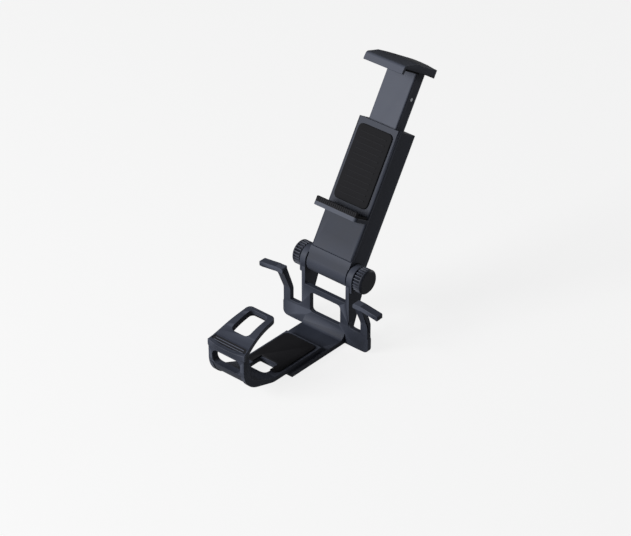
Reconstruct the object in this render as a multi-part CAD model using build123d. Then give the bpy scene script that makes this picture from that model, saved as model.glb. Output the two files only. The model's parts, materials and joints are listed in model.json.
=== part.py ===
from build123d import *
import os
from math import radians, sin, tan

# Millimetres. +X is to the right, +Y points to the back, +Z is up.
# The origin is the middle of the floor pad's upper face, where the bracket is seated.
# The hinge runs along X. The clamp is drawn upright about the hinge and then leant back.

# Hinge
HINGE_Y = 44.0
HINGE_Z = 33.0
CLAMP_LEAN = 31.5
RUNNING_GAP = 0.1
BARREL_RADIUS = 6.8
BARREL_HALF_WIDTH = 13.6
FRICTION_WASHER = 0.5
FRICTION_WASHER_RADIUS = 6.0
BOLT_RADIUS = 2.5
BOLT_HALF_LENGTH = 22.6
BOLT_END_CHAMFER = 0.6

# Ears of the back frame
EAR_THICKNESS = 2.4
EAR_RING_RADIUS = 7.0
EAR_RING_STEP = 1.5
EAR_REAR_REACH = 6.6
EAR_REAR_DROP = 5.5
EAR_REAR_ROUNDING = 2.0
EAR_HEEL = 0.6
EAR_HEEL_ROUNDING = 6.0
EAR_STEP_DROP = 6.4
EAR_INNER_X = BARREL_HALF_WIDTH + FRICTION_WASHER + RUNNING_GAP
EAR_OUTER_X = EAR_INNER_X + EAR_THICKNESS
EAR_RING_X = EAR_OUTER_X + EAR_RING_STEP

# Knobs
KNOB_RADIUS = 7.2
KNOB_LENGTH = 5.3
KNOB_GROOVES = 24
KNOB_GROOVE_DEPTH = 0.55
KNOB_GROOVE_WIDTH = 0.9
KNOB_RIM = 2.1
KNOB_END_CHAMFER = 1.2
KNOB_BLIND_GAP = 0.4
KNOB_WASHER = 0.5
KNOB_WASHER_RADIUS = 5.0
NUT_FLATS = 8.0
NUT_LENGTH = 3.2
KNOB_INNER_X = EAR_RING_X + RUNNING_GAP + KNOB_WASHER

# Front bracket: tongue, ledge, loop and floor
WALL = 2.6
TONGUE_REAR_Y = -12.2
TONGUE_REAR_Z = 32.8
TONGUE_BEND_Y = -25.6
TONGUE_BEND_Z = 30.6
TONGUE_BEND_RADIUS = 50.0
TONGUE_REAR_HALF_WIDTH = 9.4
TONGUE_MIDDLE_HALF_WIDTH = 10.4
TONGUE_CORNER = 3.0
LEDGE_REAR_Y = -37.6
LEDGE_REAR_Z = 25.5
LEDGE_HALF_WIDTH = 12.9
LEDGE_END_Y = -40.6
LEDGE_FRONT_Y = -42.0
LEDGE_FRONT_Z = 24.1
LEDGE_LIP = 2.2
LEDGE_REAR_ROUNDING = 1.0
LEDGE_LIP_ROUNDING = 0.7
LEDGE_OVERLAP = 1.0
TONGUE_WINDOW_WIDTH = 11.6
TONGUE_WINDOW_FRONT_Y = -30.5
TONGUE_REAR_BAR = 2.0
TONGUE_WINDOW_CORNER = 2.4
LOOP_HALF_WIDTH = 12.4
LOOP_FRONT_Y = -40.6
LOOP_DEPTH = 4.4
LOOP_RAIL = 2.7
LOOP_WINDOW_TOP_Z = 19.4
LOOP_WINDOW_LOW_Z = 11.3
LOOP_WINDOW_CORNER = 3.2
FOOT_RADIUS = 14.0
FOOT_LOW_Z = 3.4
FOOT_INNER_RISE = 3.6
FOOT_INNER_RADIUS = 8.0
RUNNER_RECESS = 0.8
FLOOR_START_Y = -18.0
FLOOR_END_Y = 20.0
FLOOR_BEND_RADIUS = 14.0
FLOOR_SLOT_WIDTH = 12.0
FLOOR_SLOT_LENGTH = 11.0
FLOOR_SLOT_CORNER = 3.0

# Back frame
LAP_START_Y = -6.0
LAP_HALF_WIDTH = 14.0
WEB_FRONT_Y = 36.8
WEB_THICKNESS = 2.8
CROSSBAR_TOP_Z = 19.6
CROSSBAR_HEIGHT = 3.6
CABLE_WINDOW_HALF_WIDTH = 10.5
CABLE_WINDOW_LOW_Z = 3.5
CABLE_WINDOW_CORNER = 2.0
WING_HALF_WIDTH = 30.0
WING_TOP_Z = 5.0
WING_CORNER = 3.0
CROSSBAR_CORNER = 1.0
LAP_CORNER = 1.0
FRAME_BEND_RADIUS = 5.0
EAR_REAR_FOOT_Z = 1.0

# Hooks
HOOK_ARM_INNER_X = 24.6
HOOK_ARM_WIDTH = 5.0
HOOK_END_X = 41.8
HOOK_TOP_Z = 27.2
HOOK_BAR_HEIGHT = 2.8
HOOK_BAR_FRONT_Y = 30.4
HOOK_BAR_DEPTH = 4.6
HOOK_DROP = 1.6
HOOK_LEAN_Z = 12.0
HOOK_CORNER = 1.2
HOOK_SMALL_CORNER = 0.4
HOOK_ROOT_INSET = 0.8
HOOK_LEAN_ROUNDING = 6.0
HOOK_BAR_ROUNDING = 8.0
HOOK_PAD = 0.8
HOOK_PAD_INSET = 0.8

# Seat pads and bracket screws
FLOOR_PAD = 0.8
FLOOR_PAD_HALF_WIDTH = 10.8
FLOOR_PAD_FRONT_Y = -14.0
FLOOR_PAD_REAR_Y = 18.0
FLOOR_PAD_CORNER = 3.0
TONGUE_PAD = 0.8
TONGUE_PAD_RIM = 2.4
TONGUE_PAD_INSET = 0.4
BRACKET_SCREW_X = 4.6
BRACKET_SCREW_Y = (0.0, 14.0)
BRACKET_SCREW_RADIUS = 1.1
BRACKET_SCREW_HEAD_RADIUS = 2.1
BRACKET_SCREW_HEAD = 1.2
BRACKET_SCREW_RIM = 0.2
BRACKET_SCREW_BITE = 1.9
SCREW_CLEARANCE = 0.15

# Clamp body, upright about the hinge
BODY_OVERHANG = 0.4
BODY_HALF_WIDTH = BARREL_HALF_WIDTH + BODY_OVERHANG
BODY_REAR = 9.5
BODY_TOP = 80.0
BODY_SEAM = 6.7
BODY_NECK = 3.0
BODY_CORNER = 2.0
BODY_TOP_FRONT_ROUNDING = 1.2
BODY_TOP_REAR_ROUNDING = 2.0
BODY_NECK_ROUNDING = 5.0
BODY_TRIM_GAP = 0.2
COVER_THICKNESS = 2.2
COVER_EDGE_ROUNDING = 1.2
SEAM_GAP = 0.15
CHANNEL_GAP = 0.4
CHANNEL_LOW = 14.0
BODY_SCREW_EDGE = 1.8
BODY_SCREW_X = BODY_HALF_WIDTH - BODY_SCREW_EDGE
BODY_SCREW_Z = (11.5, 72.0)
BODY_SCREW_RADIUS = 0.7
BODY_SCREW_HEAD_RADIUS = 1.3
BODY_SCREW_HEAD = 1.2
BODY_SCREW_SINK = 2.2
COVER_PEG_RADIUS = 1.3
COVER_PEG_LENGTH = 6.0

# Lower jaw
JAW_REACH = 11.2
JAW_FRONT = BARREL_RADIUS + JAW_REACH
LOWER_JAW_OVERHANG = 0.6
LOWER_JAW_HALF_WIDTH = BODY_HALF_WIDTH + LOWER_JAW_OVERHANG
LOWER_JAW_LOW = 28.4
LOWER_JAW_TOP = 30.6
LOWER_JAW_CORNER = 2.0
GUSSET_X = 7.0
GUSSET_HALF_WIDTH = 0.8
GUSSET_DROP = 3.5
GUSSET_REACH = 6.0
JAW_PAD = 1.1
LOWER_PAD_LIP = 33.4
LOWER_PAD_LIP_DEPTH = 2.2
LOWER_PAD_LIP_ROUNDING = 0.5
PAD_SIDE_INSET = 1.0
PAD_EDGE_MARGIN = 0.5
BACK_PAD_LOW = 35.0
BACK_PAD_TOP = 77.0
BACK_PAD_HALF_WIDTH = 11.5
BACK_PAD_CORNER = 3.0

# Upper jaw and its stem
JAW_OPENING = 79.5
UPPER_JAW_HALF_WIDTH = 13.0
UPPER_JAW_OVERREACH = 4.7
UPPER_JAW_FRONT = JAW_FRONT + UPPER_JAW_OVERREACH
UPPER_LIP_DEPTH = 2.2
UPPER_LIP_REACH = 3.2
UPPER_JAW_WALL = 3.0
UPPER_JAW_ARCH = 0.5
UPPER_JAW_CROWN = 1.3
UPPER_JAW_REAR = 9.6
UPPER_JAW_CORNER = 3.0
UPPER_JAW_SHOULDER = 1.7
UPPER_JAW_LEAN = 0.5
UPPER_JAW_CREST = 8.0
UPPER_JAW_CREST_ROUNDING = 25.0
UPPER_JAW_REAR_ROUNDING = 3.2
UPPER_JAW_SMALL_ROUNDING = 0.5
OVERHANG_DEPTH = 2.0
OVERHANG_REACH = 0.8
STEM_HALF_WIDTH = 9.4
STEM_GAP = 0.2
STEM_FRONT = BARREL_RADIUS - COVER_THICKNESS - STEM_GAP
STEM_REAR = 4.2
STEM_WALL = 1.8
STEM_CORNER = 1.0
STEM_LENGTH = 54.0
STEM_PLUG_LENGTH = 9.0
STEM_PLUG_GAP = 0.1
STEM_SCREW_X = 5.0
STEM_SCREW_DROP = 5.0
STEM_SCREW_RADIUS = 0.8
STEM_SCREW_HEAD_RADIUS = 1.6
STEM_SCREW_HEAD = 0.9
STEM_SCREW_BITE = 3.0

# Springs and their pins
SPRING_X = 4.4
SPRING_RADIUS = 2.2
SPRING_BORE = 1.5
SPRING_PIN_RADIUS = 1.0
LOWER_PIN_Z = 19.0
UPPER_PIN_DROP = 15.0
LOWER_PIN_BITE = 2.4

# How far a cutting solid runs past the face that it cuts
OVERRUN = 1.0

# Places that follow from the sizes above
PAD_FLOOR = LOWER_JAW_TOP + JAW_PAD
PAD_CEILING = PAD_FLOOR + JAW_OPENING
UPPER_JAW_UNDERSIDE = PAD_CEILING + JAW_PAD
UPPER_JAW_TOP = UPPER_JAW_UNDERSIDE + UPPER_JAW_WALL
COVER_REAR = -BARREL_RADIUS + COVER_THICKNESS
STEM_MIDDLE_Y = (STEM_REAR - STEM_FRONT) / 2
STEM_LOW = UPPER_JAW_UNDERSIDE - STEM_LENGTH
CHANNEL_HALF_WIDTH = STEM_HALF_WIDTH + CHANNEL_GAP
CHANNEL_REAR = STEM_REAR + CHANNEL_GAP
UPPER_PIN_Z = UPPER_JAW_UNDERSIDE - UPPER_PIN_DROP
LOOP_INNER_Y = LOOP_FRONT_Y + LOOP_DEPTH
LEDGE_LOW_Z = LEDGE_FRONT_Z - LEDGE_LIP
FLOOR_TOP_Z = -FLOOR_PAD
FLOOR_LOW_Z = FLOOR_TOP_Z - WALL
LAP_LOW_Z = FLOOR_LOW_Z - WALL
SCREW_TIP_Z = FLOOR_LOW_Z + BRACKET_SCREW_BITE
UPPER_LIP_LOW = UPPER_JAW_UNDERSIDE - UPPER_LIP_REACH
WEB_REAR_Y = WEB_FRONT_Y + WEB_THICKNESS


def rounded_corner(before, here, after, rounding):
    """Where a rounding starts, passes and ends at a corner between two straight runs."""
    back = (before - here).normalized()
    ahead = (after - here).normalized()
    half_angle = radians(back.get_angle(ahead)) / 2
    run = rounding / tan(half_angle)
    bisector = (back + ahead).normalized()
    crest = rounding / sin(half_angle) - rounding
    return here + back * run, here + bisector * crest, here + ahead * run


def outline(*corners):
    """A closed flat face from corners given as (first, second, rounding)."""
    points = [Vector(first, second) for first, second, rounding in corners]
    count = len(points)
    bends = []
    for index, (first, second, rounding) in enumerate(corners):
        before, here, after = points[index - 1], points[index], points[(index + 1) % count]
        sharp = (here, here, here)
        bends.append(rounded_corner(before, here, after, rounding) if rounding else sharp)
    edges = [ThreePointArc(*bend) for bend, corner in zip(bends, corners) if corner[2]]
    for bend, following in zip(bends, bends[1:] + bends[:1]):
        if (following[0] - bend[2]).length > 1e-6:
            edges.append(Line(bend[2], following[0]))
    return make_face(edges)


def side_slab(corners, half_width, middle_x=0.0):
    """A side view in Y and Z given thickness along X."""
    slab = extrude(Plane.YZ * outline(*corners), amount=half_width, both=True)
    return Pos(middle_x, 0, 0) * slab


def upright(face, low, high):
    """A plan view in X and Y given height along Z."""
    return Pos(0, 0, low) * extrude(face, amount=high - low)


def round_bar(radius, start_x, end_x, at_y=0.0, at_z=0.0):
    """A round bar along X between two places."""
    length = end_x - start_x
    bar = Cylinder(radius, length, rotation=(0, 90, 0))
    return Pos((start_x + end_x) / 2, at_y, at_z) * bar


def pin_y(radius, start_y, end_y, at_x, at_z):
    """A round bar along Y between two places."""
    length = end_y - start_y
    bar = Cylinder(radius, length, rotation=(90, 0, 0))
    return Pos(at_x, (start_y + end_y) / 2, at_z) * bar


def block(x_range, y_range, z_range):
    """A box between two places on each axis."""
    sizes = [high - low for low, high in (x_range, y_range, z_range)]
    middle = [(high + low) / 2 for low, high in (x_range, y_range, z_range)]
    return Pos(*middle) * Box(*sizes)


def only_solids(shape):
    """The solids of a joined or cut shape, without stray faces or edges."""
    return Part() + shape.solids()


def shared(first, second):
    """The solid that two pieces have in common."""
    return only_solids(first & second)


def mirrored(solid):
    """The same piece on the left, across the middle plane."""
    return mirror(solid, about=Plane.YZ)


def leant_back(solid):
    """A piece of the clamp, moved from upright about the hinge to its stored lean."""
    return Pos(0, HINGE_Y, HINGE_Z) * Rot(-CLAMP_LEAN, 0, 0) * solid


# Front bracket


def tongue_plan():
    """The tongue seen from above: waisted sides and a bowed front edge."""
    middle_y = (TONGUE_REAR_Y + LEDGE_END_Y) / 2
    rear = Line((-TONGUE_REAR_HALF_WIDTH, TONGUE_REAR_Y), (TONGUE_REAR_HALF_WIDTH, TONGUE_REAR_Y))
    right = ThreePointArc(
        (TONGUE_REAR_HALF_WIDTH, TONGUE_REAR_Y),
        (TONGUE_MIDDLE_HALF_WIDTH, middle_y),
        (LEDGE_HALF_WIDTH, LEDGE_END_Y),
    )
    front = ThreePointArc(
        (LEDGE_HALF_WIDTH, LEDGE_END_Y), (0, LEDGE_FRONT_Y), (-LEDGE_HALF_WIDTH, LEDGE_END_Y)
    )
    left = ThreePointArc(
        (-LEDGE_HALF_WIDTH, LEDGE_END_Y),
        (-TONGUE_MIDDLE_HALF_WIDTH, middle_y),
        (-TONGUE_REAR_HALF_WIDTH, TONGUE_REAR_Y),
    )
    plan = make_face([rear, right, front, left])
    rear_corners = plan.vertices().group_by(Axis.Y)[-1]
    return fillet(rear_corners, TONGUE_CORNER)


def tongue_slab():
    """The face plate and thumb ledge seen from the side, before their plan is trimmed."""
    side = [
        (TONGUE_REAR_Y, TONGUE_REAR_Z, 0),
        (TONGUE_BEND_Y, TONGUE_BEND_Z, TONGUE_BEND_RADIUS),
        (LEDGE_REAR_Y, LEDGE_REAR_Z, LEDGE_REAR_ROUNDING),
        (LEDGE_FRONT_Y, LEDGE_FRONT_Z, LEDGE_LIP_ROUNDING),
        (LEDGE_FRONT_Y, LEDGE_LOW_Z, LEDGE_LIP_ROUNDING),
        (LOOP_FRONT_Y, LEDGE_LOW_Z - LEDGE_OVERLAP, 0),
        (LOOP_INNER_Y, LEDGE_LOW_Z - LEDGE_OVERLAP, 0),
        (LOOP_INNER_Y, LEDGE_REAR_Z - WALL, LEDGE_REAR_ROUNDING),
        (TONGUE_BEND_Y, TONGUE_BEND_Z - WALL, TONGUE_BEND_RADIUS - WALL),
        (TONGUE_REAR_Y, TONGUE_REAR_Z - WALL, 0),
    ]
    return side_slab(side, LEDGE_HALF_WIDTH + OVERRUN)


def tongue():
    """The face plate with the thumb ledge at its front."""
    return shared(tongue_slab(), upright(tongue_plan(), 0, TONGUE_REAR_Z + OVERRUN))


def loop_and_floor():
    """The front loop, its rounded foot and the floor that runs back from it."""
    side = [
        (LOOP_FRONT_Y, LEDGE_LOW_Z, 0),
        (LOOP_FRONT_Y, FOOT_LOW_Z, FOOT_RADIUS),
        (FLOOR_START_Y, FLOOR_LOW_Z, FLOOR_BEND_RADIUS),
        (FLOOR_END_Y, FLOOR_LOW_Z, 0),
        (FLOOR_END_Y, FLOOR_TOP_Z, 0),
        (FLOOR_START_Y, FLOOR_TOP_Z, FLOOR_BEND_RADIUS - WALL),
        (LOOP_INNER_Y, FOOT_LOW_Z + FOOT_INNER_RISE, FOOT_INNER_RADIUS),
        (LOOP_INNER_Y, LEDGE_LOW_Z, 0),
    ]
    return side_slab(side, LOOP_HALF_WIDTH)


def loop_on_runners():
    """The loop and floor, with a shallow recess along the underside between two runners."""
    loop = loop_and_floor()
    raised = Pos(0, 0, RUNNER_RECESS) * loop
    gap_half = LOOP_HALF_WIDTH - LOOP_RAIL
    below = block(
        (-gap_half, gap_half),
        (LOOP_FRONT_Y - OVERRUN, FLOOR_START_Y),
        (FLOOR_LOW_Z - OVERRUN, LOOP_WINDOW_LOW_Z),
    )
    return only_solids(loop - (below - raised))


def loop_window():
    """The rounded window in the loop's front, cut right through its depth."""
    half = LOOP_HALF_WIDTH - LOOP_RAIL
    middle_z = (LOOP_WINDOW_TOP_Z + LOOP_WINDOW_LOW_Z) / 2
    height = LOOP_WINDOW_TOP_Z - LOOP_WINDOW_LOW_Z
    face = Plane.XZ * (Pos(0, middle_z) * RectangleRounded(2 * half, height, LOOP_WINDOW_CORNER))
    window = extrude(face, amount=LOOP_DEPTH + 2 * OVERRUN)
    return Pos(0, LOOP_INNER_Y + OVERRUN, 0) * window


def tongue_window():
    """The rounded window in the face plate, cut straight down."""
    rear_y = TONGUE_REAR_Y - TONGUE_REAR_BAR
    length = rear_y - TONGUE_WINDOW_FRONT_Y
    middle_y = (rear_y + TONGUE_WINDOW_FRONT_Y) / 2
    face = Pos(0, middle_y) * RectangleRounded(TONGUE_WINDOW_WIDTH, length, TONGUE_WINDOW_CORNER)
    return upright(face, LOOP_WINDOW_TOP_Z, TONGUE_REAR_Z + OVERRUN)


def screw_places():
    """The four bracket screws, as X and Y."""
    return [(x, y) for x in (-BRACKET_SCREW_X, BRACKET_SCREW_X) for y in BRACKET_SCREW_Y]


def front_bracket():
    bracket = tongue() + loop_on_runners()
    bracket -= loop_window()
    bracket -= tongue_window()
    slot_middle = FLOOR_START_Y + FLOOR_SLOT_LENGTH / 2
    slot = RectangleRounded(FLOOR_SLOT_WIDTH, FLOOR_SLOT_LENGTH, FLOOR_SLOT_CORNER)
    bracket -= upright(Pos(0, slot_middle) * slot, LAP_LOW_Z, WALL)
    for x, y in screw_places():
        bracket -= upright(Pos(x, y) * Circle(BRACKET_SCREW_RADIUS), FLOOR_LOW_Z, SCREW_TIP_Z)
    return bracket


# Back frame


def ear():
    """The right ear: a tapered web rising from the frame's foot to a thicker head at the hinge."""
    corners = [
        (WEB_FRONT_Y, LAP_LOW_Z, 0),
        (WEB_FRONT_Y, HINGE_Z - EAR_STEP_DROP / 2, 0),
        (HINGE_Y, HINGE_Z, 0),
        (HINGE_Y + EAR_REAR_REACH, HINGE_Z - EAR_REAR_DROP, EAR_REAR_ROUNDING),
        (WEB_REAR_Y + EAR_HEEL, EAR_REAR_FOOT_Z, EAR_HEEL_ROUNDING),
        (WEB_REAR_Y, LAP_LOW_Z, 0),
    ]
    middle_x = (EAR_INNER_X + EAR_OUTER_X) / 2
    plate = side_slab(corners, EAR_THICKNESS / 2, middle_x)
    head = round_bar(EAR_RING_RADIUS, EAR_INNER_X, EAR_RING_X, HINGE_Y, HINGE_Z)
    head += block(
        (EAR_INNER_X, EAR_RING_X),
        (HINGE_Y - EAR_RING_RADIUS, HINGE_Y),
        (HINGE_Z - EAR_STEP_DROP, HINGE_Z),
    )
    bore = round_bar(BOLT_RADIUS + RUNNING_GAP, 0, EAR_RING_X + OVERRUN, HINGE_Y, HINGE_Z)
    return plate + head - bore


def frame_web():
    """The upright web: crossbar on top, side posts, and low wings out to the hook arms."""
    post_x = EAR_OUTER_X
    corners = [
        (-WING_HALF_WIDTH, LAP_LOW_Z, WING_CORNER),
        (WING_HALF_WIDTH, LAP_LOW_Z, WING_CORNER),
        (WING_HALF_WIDTH, WING_TOP_Z, WING_CORNER),
        (post_x, WING_TOP_Z, WING_CORNER),
        (post_x, CROSSBAR_TOP_Z, CROSSBAR_CORNER),
        (-post_x, CROSSBAR_TOP_Z, CROSSBAR_CORNER),
        (-post_x, WING_TOP_Z, WING_CORNER),
        (-WING_HALF_WIDTH, WING_TOP_Z, WING_CORNER),
    ]
    face = Plane.XZ * outline(*corners)
    web = Pos(0, WEB_REAR_Y, 0) * extrude(face, amount=WEB_THICKNESS)
    window_top = CROSSBAR_TOP_Z - CROSSBAR_HEIGHT
    window_height = window_top - CABLE_WINDOW_LOW_Z
    middle_z = (window_top + CABLE_WINDOW_LOW_Z) / 2
    window = Plane.XZ * (
        Pos(0, middle_z)
        * RectangleRounded(2 * CABLE_WINDOW_HALF_WIDTH, window_height, CABLE_WINDOW_CORNER)
    )
    cut = extrude(window, amount=WEB_THICKNESS + 2 * OVERRUN)
    return web - Pos(0, WEB_REAR_Y + OVERRUN, 0) * cut


def lap_plate():
    """The plate under the front bracket's floor, with a bend up into the web."""
    side = [
        (LAP_START_Y, LAP_LOW_Z, LAP_CORNER),
        (WEB_REAR_Y, LAP_LOW_Z, 0),
        (WEB_REAR_Y, 0, 0),
        (WEB_FRONT_Y, 0, 0),
        (WEB_FRONT_Y - WALL, FLOOR_LOW_Z, FRAME_BEND_RADIUS / 2),
        (LAP_START_Y, FLOOR_LOW_Z, 0),
    ]
    plate = side_slab(side, LAP_HALF_WIDTH)
    for x, y in screw_places():
        plate -= Pos(x, y, LAP_LOW_Z) * countersunk_screw(WALL + OVERRUN, SCREW_CLEARANCE)
    return plate


def countersunk_screw(length, clearance=0.0):
    """A countersunk screw standing on its head, or with a clearance the hole that takes it."""
    rim_radius = BRACKET_SCREW_HEAD_RADIUS + clearance
    shank_radius = BRACKET_SCREW_RADIUS + clearance
    half = [
        (0, -clearance),
        (rim_radius, -clearance),
        (rim_radius, BRACKET_SCREW_RIM),
        (shank_radius, BRACKET_SCREW_HEAD),
        (shank_radius, length),
        (0, length),
    ]
    return revolve(Plane.XZ * make_face(Polyline(*half, close=True)), Axis.Z)


def hook():
    """One hook: an arm that rises and leans forward, and a bar that reaches outward."""
    arm_x = HOOK_ARM_INNER_X + HOOK_ARM_WIDTH / 2
    under = HOOK_TOP_Z - HOOK_BAR_HEIGHT
    bar_rear = HOOK_BAR_FRONT_Y + HOOK_BAR_DEPTH
    side = [
        (WEB_FRONT_Y, LAP_LOW_Z + WING_CORNER, 0),
        (WEB_REAR_Y, LAP_LOW_Z + WING_CORNER, 0),
        (WEB_REAR_Y, HOOK_LEAN_Z, HOOK_LEAN_ROUNDING),
        (bar_rear - HOOK_ROOT_INSET, HOOK_TOP_Z - HOOK_ROOT_INSET, 0),
        (HOOK_BAR_FRONT_Y + HOOK_ROOT_INSET, HOOK_TOP_Z - HOOK_ROOT_INSET, 0),
        (HOOK_BAR_FRONT_Y + HOOK_ROOT_INSET, under + HOOK_ROOT_INSET, 0),
        (WEB_FRONT_Y, HOOK_LEAN_Z, HOOK_LEAN_ROUNDING),
    ]
    arm = side_slab(side, HOOK_ARM_WIDTH / 2, arm_x)
    bar_corners = [
        (HOOK_ARM_INNER_X, HOOK_TOP_Z - HOOK_BAR_HEIGHT, HOOK_SMALL_CORNER),
        (HOOK_ARM_INNER_X, HOOK_TOP_Z, HOOK_CORNER),
        (HOOK_ARM_INNER_X + HOOK_ARM_WIDTH, HOOK_TOP_Z, HOOK_BAR_ROUNDING),
        (HOOK_END_X, HOOK_TOP_Z - HOOK_DROP, HOOK_CORNER),
        (HOOK_END_X, HOOK_TOP_Z - HOOK_DROP - HOOK_BAR_HEIGHT, HOOK_CORNER),
        (HOOK_ARM_INNER_X + HOOK_ARM_WIDTH, HOOK_TOP_Z - HOOK_BAR_HEIGHT, HOOK_BAR_ROUNDING),
    ]
    bar_face = Plane.XZ * outline(*bar_corners)
    bar = Pos(0, bar_rear, 0) * extrude(bar_face, amount=HOOK_BAR_DEPTH)
    plan = outline(
        (HOOK_ARM_INNER_X, HOOK_BAR_FRONT_Y, 0),
        (HOOK_END_X, HOOK_BAR_FRONT_Y, HOOK_CORNER),
        (HOOK_END_X, bar_rear, HOOK_CORNER),
        (HOOK_ARM_INNER_X, bar_rear, HOOK_CORNER),
    )
    bar = shared(bar, upright(plan, 0, HOOK_TOP_Z + OVERRUN))
    return arm + bar


def back_frame():
    frame = frame_web() + lap_plate()
    for piece in (ear(), hook()):
        frame += piece
        frame += mirrored(piece)
    return frame


# Bracket pads and screws


def bracket_screws():
    """Four countersunk screws that join the back frame to the front bracket from below."""
    screw = countersunk_screw(WALL + BRACKET_SCREW_BITE)
    return Compound(children=[Pos(x, y, LAP_LOW_Z) * screw for x, y in screw_places()])


def floor_pad():
    """The soft sheet on the floor, on which the bracket's load rests."""
    length = FLOOR_PAD_REAR_Y - FLOOR_PAD_FRONT_Y
    middle_y = (FLOOR_PAD_REAR_Y + FLOOR_PAD_FRONT_Y) / 2
    sheet = Pos(0, middle_y) * RectangleRounded(2 * FLOOR_PAD_HALF_WIDTH, length, FLOOR_PAD_CORNER)
    slot_end = FLOOR_START_Y + FLOOR_SLOT_LENGTH
    opening = block(
        (-FLOOR_SLOT_WIDTH / 2, FLOOR_SLOT_WIDTH / 2),
        (FLOOR_PAD_FRONT_Y - OVERRUN, slot_end),
        (FLOOR_TOP_Z, FLOOR_PAD),
    )
    return upright(sheet, FLOOR_TOP_Z, 0) - opening


def tongue_pad():
    """A soft frame under the face plate, round its window."""
    slab = tongue_slab()
    layer = Pos(0, 0, -TONGUE_PAD) * slab - slab
    rear_y = TONGUE_REAR_Y - TONGUE_PAD_INSET
    front_y = TONGUE_WINDOW_FRONT_Y - TONGUE_PAD_RIM
    half = TONGUE_WINDOW_WIDTH / 2 + TONGUE_PAD_RIM
    frame = block((-half, half), (front_y, rear_y), (LOOP_WINDOW_TOP_Z, TONGUE_REAR_Z))
    return shared(layer, frame - tongue_window())


def right_hook_pad():
    """A soft pad under the right hook's bar."""
    bar_start = HOOK_ARM_INNER_X + HOOK_ARM_WIDTH
    low_z = HOOK_TOP_Z - HOOK_BAR_HEIGHT
    slope = HOOK_DROP / (HOOK_END_X - bar_start)
    start_x = bar_start + HOOK_CORNER
    end_x = HOOK_END_X - HOOK_CORNER
    start_z = low_z - slope * (start_x - bar_start)
    end_z = low_z - slope * (end_x - bar_start)
    corners = [
        (start_x, start_z, 0),
        (end_x, end_z, 0),
        (end_x, end_z - HOOK_PAD, 0),
        (start_x, start_z - HOOK_PAD, 0),
    ]
    face = Plane.XZ * outline(*corners)
    rear_y = HOOK_BAR_FRONT_Y + HOOK_BAR_DEPTH - HOOK_PAD_INSET
    return Pos(0, rear_y, 0) * extrude(face, amount=HOOK_BAR_DEPTH - 2 * HOOK_PAD_INSET)


# Hinge hardware


def hinge_bolt():
    """A plain rod through barrel and ears, threaded at both ends."""
    rod = round_bar(BOLT_RADIUS, -BOLT_HALF_LENGTH, BOLT_HALF_LENGTH)
    return chamfer(rod.edges().filter_by(GeomType.CIRCLE), BOLT_END_CHAMFER)


def ring(outer, inner, start_x, end_x):
    """A flat ring on the hinge line."""
    return round_bar(outer, start_x, end_x) - round_bar(inner, start_x - OVERRUN, end_x + OVERRUN)


def knob():
    """The right knob: grooved rim, plain bevelled end, hexagonal pocket for its nut."""
    outer_x = KNOB_INNER_X + KNOB_LENGTH
    body = round_bar(KNOB_RADIUS, KNOB_INNER_X, outer_x)
    outer_edge = body.edges().filter_by(GeomType.CIRCLE).sort_by(Axis.X)[-1]
    body = chamfer(outer_edge, KNOB_END_CHAMFER)
    groove = block(
        (KNOB_INNER_X - OVERRUN, outer_x - KNOB_RIM),
        (-KNOB_GROOVE_WIDTH / 2, KNOB_GROOVE_WIDTH / 2),
        (KNOB_RADIUS - KNOB_GROOVE_DEPTH, KNOB_RADIUS + OVERRUN),
    )
    grooves = [Rot(360 / KNOB_GROOVES * index, 0, 0) * groove for index in range(KNOB_GROOVES)]
    body -= grooves
    body -= nut_prism(KNOB_INNER_X - OVERRUN, KNOB_INNER_X + NUT_LENGTH)
    bore_end = BOLT_HALF_LENGTH + KNOB_BLIND_GAP
    body -= round_bar(BOLT_RADIUS + RUNNING_GAP, KNOB_INNER_X, bore_end)
    return body


def nut_prism(start_x, end_x):
    """A hexagonal prism on the hinge line."""
    face = Plane.YZ * RegularPolygon(NUT_FLATS / 2, 6, major_radius=False)
    return Pos(start_x, 0, 0) * extrude(face, amount=end_x - start_x)


def knob_nut():
    """The metal nut pressed in the knob."""
    nut = nut_prism(KNOB_INNER_X, KNOB_INNER_X + NUT_LENGTH)
    return nut - round_bar(BOLT_RADIUS + RUNNING_GAP / 2, 0, KNOB_INNER_X + NUT_LENGTH + OVERRUN)


# Clamp body


def plan_with_rear_corners(half_width, front, rear, rounding):
    """A plan view, square at the front and rounded at its two rear corners."""
    return outline(
        (-half_width, -front, 0),
        (half_width, -front, 0),
        (half_width, rear, rounding),
        (-half_width, rear, rounding),
    )


def body_outline():
    """Side view of the arm above the barrel, with a rounded lower rear corner."""
    return outline(
        (-BARREL_RADIUS, 0, 0),
        (-BARREL_RADIUS, BODY_TOP, BODY_TOP_FRONT_ROUNDING),
        (BODY_REAR, BODY_TOP, BODY_TOP_REAR_ROUNDING),
        (BODY_REAR, BODY_NECK, BODY_NECK_ROUNDING),
        (0, 0, 0),
    )


def body_screw_places():
    """The four shell screws, as X and height."""
    return [(x, z) for x in (-BODY_SCREW_X, BODY_SCREW_X) for z in BODY_SCREW_Z]


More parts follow.
